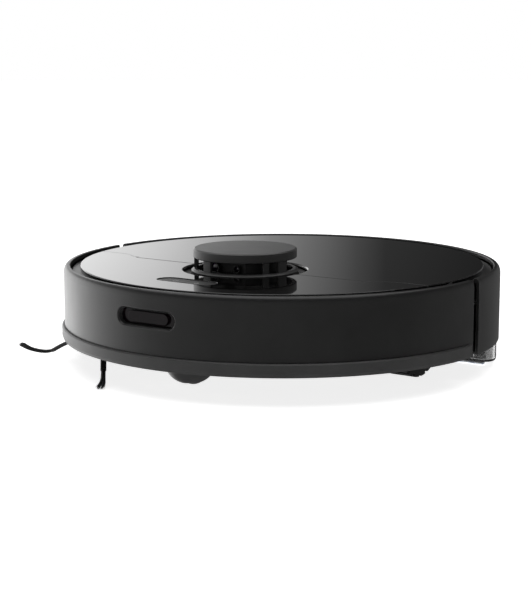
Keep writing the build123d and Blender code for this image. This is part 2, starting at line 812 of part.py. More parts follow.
def make_main_brush():
    with BuildPart() as core:
        with BuildSketch(Plane.YZ.offset(-brush_chamber_x - 1.5)):
            with Locations((brush_y, brush_z)):
                Circle(journal_radius)
        extrude(amount=2 * (brush_chamber_x + 1.5))
        with BuildSketch(Plane.YZ.offset(-brush_half_length - 1.5)):
            with Locations((brush_y, brush_z)):
                Circle(brush_core_radius)
        extrude(amount=2 * (brush_half_length + 1.5))
    write(core, "main_brush_core")
    with BuildPart() as fins:
        with BuildSketch(Plane.YZ.offset(-brush_half_length)):
            with Locations((brush_y, brush_z)):
                with PolarLocations((brush_core_radius + brush_radius) / 2, 6):
                    Rectangle(brush_radius - brush_core_radius - 0.4, 3.2)
                Circle(brush_core_radius + 1.2)
                Circle(brush_core_radius, mode=Mode.SUBTRACT)
        extrude(amount=2 * brush_half_length)
    write(fins, "main_brush_fins")


def make_brush_guard():
    with BuildPart() as guard:
        with BuildSketch(Plane((0, brush_y, guard_bottom))):
            RectangleRounded(2 * guard_half_x, 62, 5)
            RectangleRounded(2 * brush_half_length + 3, 46, 4, mode=Mode.SUBTRACT)
            with Locations((-85.2, 0), (85.2, 0)):
                Rectangle(7.6, 20, mode=Mode.SUBTRACT)
        extrude(amount=base_underside - guard_bottom)
        fillet(guard.faces().sort_by(Axis.Z)[0].outer_wire().edges(), 0.8)
    write(guard, "brush_guard")


def make_guard_latches():
    for side, name in ((1, "guard_latch_left"), (-1, "guard_latch_right")):
        with BuildPart() as latch:
            with Locations((side * 86.3, brush_y, guard_bottom - 0.6)):
                Box(4.8, 19.2, base_underside - guard_bottom + 0.3,
                    align=(Align.CENTER, Align.CENTER, Align.MIN))
            with Locations((side * 86.3, brush_y - 4, guard_bottom - 0.6),
                           (side * 86.3, brush_y, guard_bottom - 0.6),
                           (side * 86.3, brush_y + 4, guard_bottom - 0.6)):
                Box(4.8, 1.2, 0.5, align=(Align.CENTER, Align.CENTER, Align.MIN), mode=Mode.SUBTRACT)
        write(latch, name)


def make_brush_gearbox():
    with BuildPart() as gearbox:
        with BuildSketch(Plane.YZ.offset(-gearbox_x)):
            with Locations((brush_y, brush_z)):
                Circle(7)
            with Locations((-10, 60)):
                Circle(12)
            with BuildLine():
                Polyline((brush_y - 6, brush_z), (brush_y + 6, brush_z), (2, 60), (-21, 58), close=True)
            make_face()
        extrude(amount=gearbox_x - brush_chamber_x - 1.8)
        with Locations((-gearbox_x, brush_y, 0)):
            Box(20, 40, base_underside + base_thickness, align=(Align.CENTER, Align.CENTER, Align.MIN),
                mode=Mode.SUBTRACT)
        with BuildSketch(Plane.YZ.offset(-brush_chamber_x - 1.8)):
            with Locations((-10, 60)):
                Circle(11)
        extrude(amount=42)
    write(gearbox, "brush_gearbox")


# ---------------------------------------------------------------- drive wheels
def make_tyre(side, name):
    """Rubber ring with two staggered rows of blocks."""
    blocks = 22
    block_height = 2.6
    start = side * wheel_x - wheel_width / 2
    tread = wheel_radius - block_height
    with BuildPart() as tyre:
        with BuildSketch(Plane.YZ.offset(start)):
            with Locations((wheel_y, wheel_radius)):
                Circle(tread)
                Circle(hub_radius, mode=Mode.SUBTRACT)
        extrude(amount=wheel_width)
        for row in (0, 1):
            with BuildSketch(Plane.YZ.offset(start + row * (wheel_width / 2 + 0.6))):
                with Locations((wheel_y, wheel_radius)):
                    Circle(wheel_radius)
                    Circle(tread - 0.5, mode=Mode.SUBTRACT)
                    with PolarLocations(tread + 1, blocks, start_angle=row * 180 / blocks):
                        Rectangle(8, 3.4, mode=Mode.SUBTRACT)
            extrude(amount=wheel_width / 2 - 0.6)
    write(tyre, name)


def make_wheel_hub(side, name):
    start = side * wheel_x - wheel_width / 2 + 0.2
    width = wheel_width - 0.4
    outer_face = Plane.YZ.offset(side * (wheel_x + wheel_width / 2 - 0.2))
    with BuildPart() as hub:
        with BuildSketch(Plane.YZ.offset(start)):
            with Locations((wheel_y, wheel_radius)):
                Circle(hub_radius)
        extrude(amount=width)
        with BuildSketch(outer_face):
            with Locations((wheel_y, wheel_radius)):
                Circle(hub_radius - 3)
                Circle(9, mode=Mode.SUBTRACT)
        extrude(amount=-side * 5, mode=Mode.SUBTRACT)
        with BuildSketch(outer_face):
            with Locations((wheel_y, wheel_radius)):
                with PolarLocations(16.6, 6):
                    Rectangle(16, 2.4)
        extrude(amount=-side * 6)
        with BuildSketch(Plane.YZ.offset(start)):
            with Locations((wheel_y, wheel_radius)):
                Circle(axle_radius + pin_clearance)
        extrude(amount=width, mode=Mode.SUBTRACT)
    write(hub, name)


def make_wheel_arm(side, name):
    """Gearbox arm that swings about the suspension pin and carries the wheel's axle."""
    with BuildPart() as arm:
        with BuildSketch(Plane.YZ.offset(side * arm_inner_x)):
            with Locations((wheel_y, wheel_radius)):
                Circle(14)
            with Locations((pivot_y, pivot_z)):
                Circle(6.5)
            with BuildLine():
                Polyline((wheel_y, wheel_radius + 14), (wheel_y + 18, wheel_radius + 15),
                         (pivot_y, pivot_z + 6.5), (pivot_y, pivot_z - 6.5),
                         (wheel_y, wheel_radius - 14), close=True)
            make_face()
        extrude(amount=side * (arm_outer_x - arm_inner_x))
        with BuildSketch(Plane.YZ.offset(side * arm_outer_x)):
            with Locations((wheel_y, wheel_radius)):
                Circle(7)
        extrude(amount=side * 1.6)
        with BuildSketch(Plane.YZ.offset(side * arm_outer_x)):
            with Locations((wheel_y, wheel_radius)):
                Circle(axle_radius)
        extrude(amount=side * (wheel_x + wheel_width / 2 - 1 - arm_outer_x))
        with BuildSketch(Plane.YZ.offset(side * (arm_inner_x - 1))):
            with Locations((pivot_y, pivot_z)):
                Circle(pivot_pin_radius + pin_clearance)
        extrude(amount=side * 20, mode=Mode.SUBTRACT)
    write(arm, name)


def make_wheel_wells():
    """Covers over the wheels, with the ears of the suspension pins."""
    floor = base_underside + base_thickness
    with BuildPart() as wells:
        for side in (-1, 1):
            with Locations((side * 111.8, 8, floor)):
                Box(41.6, 91.0, 49.6, align=(Align.CENTER, Align.CENTER, Align.MIN))
                Box(38.4, 88, 48, align=(Align.CENTER, Align.CENTER, Align.MIN), mode=Mode.SUBTRACT)
            with BuildSketch(Plane.YZ.offset(side * 106)):
                with Locations((pivot_y, pivot_z)):
                    Circle(5.5)
                with BuildLine():
                    Polyline((pivot_y - 5.5, pivot_z), (pivot_y + 5.5, pivot_z), (52, 62), (52, 70.4),
                             (pivot_y - 5.5, 70.4), close=True)
                make_face()
            extrude(amount=side * 1.8)
            with BuildSketch(Plane.YZ.offset(side * 90)):
                with Locations((pivot_y, pivot_z)):
                    Circle(pivot_pin_radius)
            extrude(amount=side * 20, mode=Mode.SUBTRACT)
    write(wells, "wheel_wells")


def make_pivot_pins():
    with BuildPart() as pins:
        for side in (-1, 1):
            with BuildSketch(Plane.YZ.offset(side * 91)):
                with Locations((pivot_y, pivot_z)):
                    Circle(pivot_pin_radius)
            extrude(amount=side * 16.8)
    write(pins, "pivot_pins")


# ---------------------------------------------------------------- caster
def make_caster():
    wheel_center_y = caster_y + caster_trail
    half = caster_wheel_width / 2
    bore = caster_axle_radius + pin_clearance
    with BuildPart() as socket:
        with BuildSketch(Plane((0, caster_y, base_underside + base_thickness))):
            Circle(24)
        extrude(amount=20)
        with BuildSketch(Plane((0, caster_y, base_underside + base_thickness))):
            Circle(dome_radius + 0.5)
        extrude(amount=3.5, mode=Mode.SUBTRACT)
        with BuildSketch(Plane((0, caster_y, base_underside))):
            Circle(caster_pin_radius + pin_clearance)
        extrude(amount=20, mode=Mode.SUBTRACT)
    write(socket, "caster_socket")
    with BuildPart() as fork:
        with BuildSketch(Plane.XZ):
            with BuildLine():
                Line((0, 24.5), (dome_radius, 24.5))
                Line((dome_radius, 24.5), (dome_radius, 19.0))
                ThreePointArc((dome_radius, 19.0), (16.6, 9.0), (8.4, 2.6))
                Line((8.4, 2.6), (0, 2.6))
                Line((0, 2.6), (0, 24.5))
            make_face()
        revolve(axis=Axis.Z)
        with BuildSketch(Plane.XY.offset(24.5)):
            Circle(caster_pin_radius)
        extrude(amount=12)
        with Locations((0, caster_trail, 0)):
            Box(caster_wheel_width + 1.2, 2 * caster_wheel_radius + 2, 22.4,
                align=(Align.CENTER, Align.CENTER, Align.MIN), mode=Mode.SUBTRACT)
        with BuildSketch(Plane.YZ.offset(-half - 1)):
            with Locations((caster_trail, caster_wheel_radius)):
                Circle(caster_axle_radius)
        extrude(amount=2 * half + 2)
    fork.part = Pos(0, caster_y, 0) * fork.part
    write(fork, "caster_fork")
    with BuildPart() as wheel:
        with BuildSketch(Plane.XY):
            with BuildLine():
                Polyline((-half, bore), (half, bore), (half, caster_wheel_radius - 1.6))
                ThreePointArc((half, caster_wheel_radius - 1.6), (0, caster_wheel_radius),
                              (-half, caster_wheel_radius - 1.6))
                Line((-half, caster_wheel_radius - 1.6), (-half, bore))
            make_face()
        revolve(axis=Axis.X)
    wheel.part = Pos(0, wheel_center_y, caster_wheel_radius) * wheel.part
    write(wheel, "caster_wheel")


# ---------------------------------------------------------------- side brush
def side_arm_path(points, width, thickness):
    """Flat strip in the XZ plane of one arm, through (distance, height) points of its middle."""
    half = thickness / 2
    upper = [(r, z + half) for r, z in points]
    lower = [(r, z - half) for r, z in reversed(points)]
    with BuildPart() as strip:
        with BuildSketch(Plane.XZ.offset(-width / 2)):
            with BuildLine():
                Polyline(*upper, *lower, close=True)
            make_face()
        extrude(amount=width)
    return strip.part


def make_side_brush():
    hub_bottom = 11.0
    hub_top = 19.0
    with BuildPart() as hub:
        with BuildSketch(Plane.XY.offset(hub_bottom)):
            Circle(side_hub_radius)
        extrude(amount=hub_top - hub_bottom)
        fillet(hub.faces().sort_by(Axis.Z)[0].edges(), 1.5)
        for arm in range(3):
            strip = side_arm_path(rubber_line, side_arm_width, side_arm_thickness)
            add(Rot(0, 0, side_first_arm + 120 * arm) * strip)
        with BuildSketch(Plane.XY.offset(hub_bottom)):
            Circle(3.6)
        extrude(amount=1.8, mode=Mode.SUBTRACT)
        with BuildSketch(Plane.XY.offset(hub_bottom)):
            Circle(1.5)
        extrude(amount=4, mode=Mode.SUBTRACT)
        with BuildSketch(Plane.XY.offset(15.0)):
            Circle(journal_radius + pin_clearance)
        extrude(amount=6, mode=Mode.SUBTRACT)
    hub.part = Pos(side_x, side_y, 0) * hub.part
    write(hub, "side_brush_hub")
    with BuildPart() as bristles:
        for arm, line in enumerate(bristle_lines):
            strip = side_arm_path(line, 3.8, 2.6)
            add(Rot(0, 0, side_first_arm + 120 * arm) * strip)
    bristles.part = Pos(side_x, side_y, 0) * bristles.part
    write(bristles, "side_brush_bristles")
    with BuildPart() as screw:
        with BuildSketch(Plane((side_x, side_y, hub_bottom + 0.2))):
            Circle(3.2)
            Rectangle(4, 0.8, mode=Mode.SUBTRACT)
            Rectangle(0.8, 4, mode=Mode.SUBTRACT)
        extrude(amount=0.8)
        with BuildSketch(Plane((side_x, side_y, hub_bottom + 1.0))):
            Circle(3.2)
        extrude(amount=0.8)
        with BuildSketch(Plane((side_x, side_y, hub_bottom + 1.8))):
            Circle(1.5)
        extrude(amount=2.0)
    write(screw, "side_brush_screw")


def make_small_motors():
    """Motor of the side brush, and the one that turns the laser head."""
    with BuildPart() as motors:
        with BuildSketch(Plane.XY.offset(base_underside + base_thickness)):
            with Locations((side_x, side_y)):
                Circle(17)
            Circle(base_radius - wall_thickness - 0.5, mode=Mode.INTERSECT)
        extrude(amount=10)
        with BuildSketch(Plane((side_x, side_y, 32.0))):
            Circle(11)
        extrude(amount=22)
        with BuildSketch(Plane((side_x, side_y, 15.3))):
            Circle(journal_radius)
        extrude(amount=8)
        with BuildSketch(Plane((-motor_pulley_offset, turret_y, 44))):
            Circle(9)
        extrude(amount=bowl_bottom - 44)
    write(motors, "small_motors")


# ---------------------------------------------------------------- water tank and mop
def tank_plan(inset, z):
    """Plan of the tank: round at the back, straight at the front."""
    with BuildSketch(Plane.XY.offset(z)) as plan:
        Circle(tank_radius - inset)
        with Locations((0, tank_front + inset)):
            Rectangle(wide, wide, align=(Align.CENTER, Align.MIN), mode=Mode.INTERSECT)
        fillet(plan.vertices(), max(tank_corner - inset, 3.0))
    return plan.sketch


def make_tank_shell():
    lid_bottom = tank_top - tank_lid_thickness
    with BuildPart() as tank:
        add(tank_plan(0, tank_bottom))
        extrude(amount=lid_bottom - tank_bottom)
        fillet(tank.faces().sort_by(Axis.Z)[0].edges(), 2.6)
        add(tank_plan(tank_wall, tank_bottom + tank_wall))
        extrude(amount=lid_bottom, mode=Mode.SUBTRACT)
        # ribs on the front wall, near both corners
        for side in (-1, 1):
            for rib in range(7):
                with Locations((side * (112 + 5.5 * rib), tank_front, tank_bottom + 3)):
                    Box(1.6, 1.4, lid_bottom - tank_bottom - 4, align=(Align.CENTER, Align.MAX, Align.MIN))
        # pockets of the two release clips
        for side in (-1, 1):
            middle_z = (lid_bottom + tank_bottom + 1) / 2
            with BuildSketch(radial_plane(side * clip_azimuth, tank_radius - 1.3, middle_z)):
                Rectangle(clip_length + 4, lid_bottom - tank_bottom - 1)
            extrude(amount=-8.2)
        for side in (-1, 1):
            place = radial_plane(side * clip_azimuth, tank_radius + 3, clip_z)
            with BuildSketch(place):
                Rectangle(clip_length, clip_height)
            extrude(amount=-10.5, mode=Mode.SUBTRACT)
    write(tank, "tank_shell")


def make_tank_lid():
    lid_bottom = tank_top - tank_lid_thickness
    with BuildPart() as lid:
        add(tank_plan(0, lid_bottom))
        extrude(amount=tank_lid_thickness)
        with Locations((tongue_x, tank_front, 20.3), (-tongue_x, tank_front, 20.3)):
            Box(22, 8.5, 1.3, align=(Align.CENTER, Align.MAX, Align.MIN))
        with BuildSketch(Plane((stopper_x, stopper_y, lid_bottom))):
            Circle(9)
        extrude(amount=tank_lid_thickness, mode=Mode.SUBTRACT)
    write(lid, "tank_lid")


def make_tank_stopper():
    lid_bottom = tank_top - tank_lid_thickness
    with BuildPart() as stopper:
        with BuildSketch(Plane((stopper_x, stopper_y, lid_bottom - 3))):
            Circle(8)
        extrude(amount=3)
        with BuildSketch(Plane((stopper_x, stopper_y, lid_bottom))):
            Circle(9)
        extrude(amount=tank_lid_thickness)
    write(stopper, "tank_stopper")


def make_tank_clips():
    for side, name in ((1, "tank_clip_left"), (-1, "tank_clip_right")):
        with BuildPart() as clip:
            with BuildSketch(radial_plane(side * clip_azimuth, tank_radius - 4.9, clip_z)):
                Rectangle(clip_length - 0.8, clip_height - 0.8)
            extrude(amount=4.2)
            for offset in (-8, -4, 0, 4, 8):
                with BuildSketch(radial_plane(side * clip_azimuth, tank_radius - 0.7, clip_z)):
                    with Locations((offset, 0)):
                        Rectangle(1.2, clip_height - 3)
                extrude(amount=-0.6, mode=Mode.SUBTRACT)
        write(clip, name)


def make_mop():
    with BuildPart() as plate:
        add(tank_plan(mop_inset - 1, mop_plate_bottom))
        extrude(amount=tank_bottom - mop_plate_bottom)
    write(plate, "mop_plate")
    with BuildPart() as cloth:
        add(tank_plan(mop_inset, 0))
        extrude(amount=mop_plate_bottom)
        fillet(cloth.faces().sort_by(Axis.Z)[0].edges(), 1.0)
    write(cloth, "mop_cloth")


# ---------------------------------------------------------------- dust bin
def make_dust_bay():
    """Open box in the tray that holds the dust bin."""
    middle = (bin_front + bin_back) / 2
    depth = bin_back - bin_front
    with BuildPart() as bay:
        with BuildSketch(Plane((0, middle, bay_floor))):
            RectangleRounded(2 * bin_x + 8.2, depth + 7.6, 9)
        extrude(amount=frame_z - bay_floor)
        with BuildSketch(Plane((0, middle, bay_floor + 2))):
            RectangleRounded(2 * bin_x + 4.6, depth + 4.4, 8)
        extrude(amount=wide, mode=Mode.SUBTRACT)
        with Locations((0, bin_front, 45.0)):
            Box(68, 20, 10.5, align=(Align.CENTER, Align.CENTER, Align.MIN), mode=Mode.SUBTRACT)
        with Locations((bin_x, 84, 50)):
            Box(20, 22, 14, align=(Align.CENTER, Align.CENTER, Align.MIN), mode=Mode.SUBTRACT)
    write(bay, "dust_bay")


def make_dust_bin():
    middle = (bin_front + bin_back) / 2
    depth = bin_back - bin_front
    with BuildPart() as tub:
        with BuildSketch(Plane((0, middle, bin_bottom))):
            RectangleRounded(2 * bin_x, depth, 7)
        extrude(amount=bin_top - bin_bottom)
        with BuildSketch(Plane((0, middle, bin_bottom + 2))):
            RectangleRounded(2 * bin_x - 4, depth - 4, 5)
        extrude(amount=wide, mode=Mode.SUBTRACT)
        with Locations((0, bin_front, bin_bottom + 2)):
            Box(64, 10, 8.5, align=(Align.CENTER, Align.CENTER, Align.MIN), mode=Mode.SUBTRACT)
        with Locations((bin_x, 84, 51)):
            Box(10, 20, 12, align=(Align.CENTER, Align.CENTER, Align.MIN), mode=Mode.SUBTRACT)
    write(tub, "dustbin_tub")
    with BuildPart() as lid:
        with BuildSketch(Plane((0, middle, bin_top))):
            RectangleRounded(2 * bin_x, depth, 7)
        extrude(amount=4)
        with BuildSketch(Plane((0, middle, bin_top + 1.8))):
            RectangleRounded(70, 34, 8)
        extrude(amount=5, mode=Mode.SUBTRACT)
        with Locations((0, middle, bin_top + 3.0)):
            Box(70, 10, 2, align=(Align.CENTER, Align.CENTER, Align.MIN))
    write(lid, "dustbin_lid")
    with BuildPart() as filter_frame:
        with Locations((bin_x - 5.5, 84, bin_bottom + 2.2)):
            Box(6, 40, bin_top - bin_bottom - 2.6, align=(Align.CENTER, Align.CENTER, Align.MIN))
        for pleat in range(11):
            with Locations((bin_x - 8.5, 84 - 15 + 3 * pleat, bin_bottom + 4)):
                Box(4, 1.2, bin_top - bin_bottom - 6, align=(Align.CENTER, Align.CENTER, Align.MIN),
                    mode=Mode.SUBTRACT)
    write(filter_frame, "dust_filter")


# ---------------------------------------------------------------- fan and electronics
def make_fan():
    with BuildPart() as housing:
        with BuildSketch(Plane((fan_x, fan_y, 46))):
            Circle(21)
        extrude(amount=24)
        with Locations((88.1, fan_y, 51)):
            Box(10, 18, 12, align=(Align.MIN, Align.CENTER, Align.MIN))
        with BuildSketch(Plane((fan_x, fan_y, 48))):
            Circle(19.4)
        extrude(amount=20, mode=Mode.SUBTRACT)
        with Locations((88.1, fan_y, 52.5)):
            Box(14, 15, 9, align=(Align.MIN, Align.CENTER, Align.MIN), mode=Mode.SUBTRACT)
        with BuildSketch(Plane((fan_x, fan_y, 48))):
            Circle(3)
        extrude(amount=6)
        with Locations((fan_x, fan_y + 18, 52)):
            Box(16, 12, 12, align=(Align.CENTER, Align.CENTER, Align.MIN), mode=Mode.SUBTRACT)
        with BuildSketch(Plane((fan_x, fan_y, tank_ceiling + base_thickness))):
            with Locations((-12, -8), (12, -8), (0, 14)):
                Circle(3)
        extrude(amount=46 - tank_ceiling - base_thickness)
    write(housing, "fan_housing")
    with BuildPart() as rotor:
        with BuildSketch(Plane((fan_x, fan_y, 49))):
            Circle(17.5)
        extrude(amount=1.5)
        with BuildSketch(Plane((fan_x, fan_y, 50.5))):
            with PolarLocations(11.5, 9):
                Rectangle(11, 1.2, rotation=35)
            Circle(6)
        extrude(amount=14)
        with BuildSketch(Plane((fan_x, fan_y, 48.5))):
            Circle(3.05)
        extrude(amount=6, mode=Mode.SUBTRACT)
    write(rotor, "fan_rotor")


def make_circuit_boards():
    """Main board on its posts, key board under the pill, receiver board behind the front slot."""
    with BuildPart() as boards:
        with BuildSketch(Plane.XY.offset(board_z)):
            with Locations((0, -119)):
                RectangleRounded(140, 42, 3)
            Circle(base_radius - 4, mode=Mode.INTERSECT)
        extrude(amount=board_thickness)
        with Locations((0, pill_y, key_board_z)):
            Box(56, 18, board_thickness, align=(Align.CENTER, Align.CENTER, Align.MIN))
        with Locations((0, receiver_y, slot_z)):
            Box(50, board_thickness, 14, align=(Align.CENTER, Align.MIN, Align.CENTER))
    write(boards, "circuit_boards")


def make_board_parts():
    """Chips, capacitors and connectors, key switches, infrared receivers and the speaker."""
    main_top = board_z + board_thickness
    key_top_z = key_board_z + board_thickness
    standing = (Align.CENTER, Align.CENTER, Align.MIN)
    with BuildPart() as parts:
        for x, y, length, width, height in ((-30, -122, 16, 16, 1.6), (4, -118, 11, 11, 1.4),
                                            (34, -126, 20, 8, 6), (44, -110, 9, 9, 3),
                                            (-52, -112, 12, 6, 7), (-8, -104, 24, 6, 6)):
            with Locations((x, y, main_top)):
                Box(length, width, height, align=standing)
        with Locations((60, -118, main_top), (-12, -132, main_top)):
            Cylinder(4, 10, align=standing)
        with Locations((-key_x, pill_y, key_top_z), (key_x, pill_y, key_top_z)):
            Box(6, 6, 3.0, align=standing)
            Cylinder(1.5, 3.9, align=standing)
        with Locations((-24, pill_y, key_top_z), (24, pill_y, key_top_z)):
            Cylinder(2.5, frame_z - key_top_z, align=standing)
        for x in (-14, 0, 14):
            with Locations((x, receiver_y, slot_z)):
                Box(6, 3, 6, align=(Align.CENTER, Align.MAX, Align.CENTER))
        with BuildSketch(Plane((-fan_x, fan_y, tank_ceiling + base_thickness))):
            Circle(16)
        extrude(amount=3)
        with BuildSketch(Plane((-fan_x, fan_y, tank_ceiling + base_thickness + 3))):
            Circle(12)
        extrude(amount=9, taper=12)
    write(parts, "board_parts")


def make_battery():
    with BuildPart() as battery:
        with BuildSketch(Plane.YZ.offset(battery_x - cell_length / 2)):
            with GridLocations(2 * cell_radius + 0.2, 1, 4, 1):
                with Locations((battery_y, base_underside + base_thickness + 1.5 + cell_radius)):
                    Circle(cell_radius)
        extrude(amount=cell_length)
    write(battery, "battery_cells")
    with BuildPart() as door:
        add(battery_plan(base_underside))
        extrude(amount=base_thickness)
        with BuildSketch(Plane.XY.offset(base_underside)):
            with Locations(battery_screw):
                Circle(screw_hole_radius)
        extrude(amount=base_thickness, mode=Mode.SUBTRACT)
    write(door, "battery_door")


make_bumper_skirt()
make_bumper_shell()
make_dock_bezel()
make_dock_window()
make_wall_sensor_window()
make_rear_housing()
make_base_plate()
make_base_screws()
make_cliff_windows()
make_charge_contacts()
make_front_deck()
make_rear_flap()
make_hinge_pins()
make_top_frame()
make_key(-1, "button_power")
make_key(1, "button_home")
make_turret_cap()
make_turret_base()
make_lidar_drum()
make_lidar_belt()
make_lidar_pulley()
make_brush_housing()
make_main_brush()
make_brush_guard()
make_guard_latches()
make_brush_gearbox()
for wheel_side, word in ((1, "left"), (-1, "right")):
    make_tyre(wheel_side, f"tyre_{word}")
    make_wheel_hub(wheel_side, f"wheel_hub_{word}")
    make_wheel_arm(wheel_side, f"wheel_arm_{word}")
make_wheel_wells()
make_pivot_pins()
make_caster()
make_side_brush()
make_small_motors()
make_tank_shell()
make_tank_lid()
make_tank_stopper()
make_tank_clips()
make_mop()
make_dust_bay()
make_dust_bin()
make_fan()
make_circuit_boards()
make_board_parts()
make_battery()
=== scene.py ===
import json
import math
import random

import bmesh
import bpy
from mathutils import Matrix, Vector, noise


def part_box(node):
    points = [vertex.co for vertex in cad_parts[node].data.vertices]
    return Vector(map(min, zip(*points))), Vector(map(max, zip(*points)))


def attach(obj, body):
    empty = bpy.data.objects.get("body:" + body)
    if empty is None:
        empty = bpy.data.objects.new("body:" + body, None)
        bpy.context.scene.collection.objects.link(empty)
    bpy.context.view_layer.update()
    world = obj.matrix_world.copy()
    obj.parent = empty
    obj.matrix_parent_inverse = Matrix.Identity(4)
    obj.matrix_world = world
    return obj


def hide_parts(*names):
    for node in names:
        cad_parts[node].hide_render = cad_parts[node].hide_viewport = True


MM = 0.001
TURN = 2 * math.pi
WHITE = (1, 1, 1, 1)

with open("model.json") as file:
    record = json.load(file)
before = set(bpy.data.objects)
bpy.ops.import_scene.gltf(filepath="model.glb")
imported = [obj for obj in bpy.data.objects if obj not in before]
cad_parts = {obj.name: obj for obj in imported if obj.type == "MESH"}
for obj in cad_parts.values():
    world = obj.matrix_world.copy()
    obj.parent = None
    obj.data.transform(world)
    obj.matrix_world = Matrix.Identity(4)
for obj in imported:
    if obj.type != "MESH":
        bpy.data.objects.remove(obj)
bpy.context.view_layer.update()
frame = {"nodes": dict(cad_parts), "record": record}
nodes = frame["nodes"]
scene = bpy.context.scene
scene.view_settings.view_transform = "Standard"
random.seed(7)

# ------------------------------------------------------------------ camera
VIEW_AZIMUTH = math.radians(34.5)
VIEW_ELEVATION = math.radians(9.677)
VIEW_DISTANCE = 1.250
VIEW_HEIGHT = 0.05078
YAW, PITCH, ROLL = math.radians(0.603), math.radians(-0.150), math.radians(-0.073)
SENSOR_WIDTH, FOCAL_LENGTH = 36, 92.39
CLIP_NEAR, CLIP_FAR = 0.05, 50


def make_camera():
    """Stands front left of the robot, a little above the lid, with a long lens."""
    forward = Vector((0, math.cos(VIEW_ELEVATION), -math.sin(VIEW_ELEVATION)))
    right = Vector((1, 0, 0))
    up = right.cross(forward)
    place = -VIEW_DISTANCE * forward + Vector((0, 0, VIEW_HEIGHT))
    yaw = Matrix.Rotation(YAW, 3, up)
    forward, right = yaw @ forward, yaw @ right
    pitch = Matrix.Rotation(PITCH, 3, right)
    forward, up = pitch @ forward, pitch @ up
    roll = Matrix.Rotation(ROLL, 3, forward)
    right, up = roll @ right, roll @ up
    turn = Matrix.Rotation(VIEW_AZIMUTH, 3, "Z")
    right, up, forward, place = (turn @ v for v in (right, up, forward, place))
    data = bpy.data.cameras.new("camera")
    data.sensor_width = SENSOR_WIDTH
    data.lens = FOCAL_LENGTH
    data.clip_start, data.clip_end = CLIP_NEAR, CLIP_FAR
    camera = bpy.data.objects.new("camera", data)
    scene.collection.objects.link(camera)
    rows = Matrix((right, up, -forward)).transposed()
    camera.matrix_world = Matrix.Translation(place) @ rows.to_4x4()
    scene.camera = camera
    return right, forward


VIEW_RIGHT, VIEW_FORWARD = make_camera()


# ------------------------------------------------------------------ materials
class Graph:
    """Node tree of a material or a world, emptied, with short ways to add nodes."""

    def __init__(self, owner):
        owner.use_nodes = True
        self.tree = owner.node_tree
        self.tree.nodes.clear()

    def feed(self, socket, value):
        """Links a socket to an output, or gives it a plain value."""
        if isinstance(value, bpy.types.NodeSocket):
            self.tree.links.new(value, socket)
        else:
            socket.default_value = value

    def add(self, kind, inputs=None, **settings):
        node = self.tree.nodes.new(kind)
        for key, value in settings.items():
            setattr(node, key, value)
        for key, value in (inputs or {}).items():
            self.feed(node.inputs[key], value)
        return node

    def coordinates(self):
        return self.add("ShaderNodeTexCoord").outputs["Object"]

    def noise(self, coords, scale, detail=3.0, rough=0.55):
        inputs = {"Vector": coords, "Scale": scale, "Detail": detail, "Roughness": rough}
        return self.add("ShaderNodeTexNoise", inputs).outputs[0]

    def remap(self, value, low, high, from_low=0.3, from_high=0.7):
        inputs = {"Value": value, "From Min": from_low, "From Max": from_high,
                  "To Min": low, "To Max": high}
        return self.add("ShaderNodeMapRange", inputs).outputs[0]

    def math(self, operation, a, b):
        return self.add("ShaderNodeMath", {0: a, 1: b}, operation=operation).outputs[0]

    def mix(self, share, a, b):
        node = self.add("ShaderNodeMix", data_type="RGBA")
        for name, value in (("Factor", share), ("A", a), ("B", b)):
            self.feed([s for s in node.inputs if s.name == name and s.enabled][0], value)
        return [s for s in node.outputs if s.enabled][0]

    def principled(self, inputs):
        return self.add("ShaderNodeBsdfPrincipled", inputs).outputs[0]

    def surface(self, shader):
        self.add("ShaderNodeOutputMaterial", {"Surface": shader})


def new_material(name):
    material = bpy.data.materials.new(name)
    return material, Graph(material)


def grey(value, warm=0.0):
    return (value * (1 + warm), value, value * (1 - warm), 1)


MOTTLE_SCALE, GLOSS_SCALE, WEAR_AND_HIGHLIGHT_SCALE, DUST_SCALE, BRUSHED_SCALE = 38, 16, 220, 420, 900
DUST_COLOR = grey(0.35, 0.03)


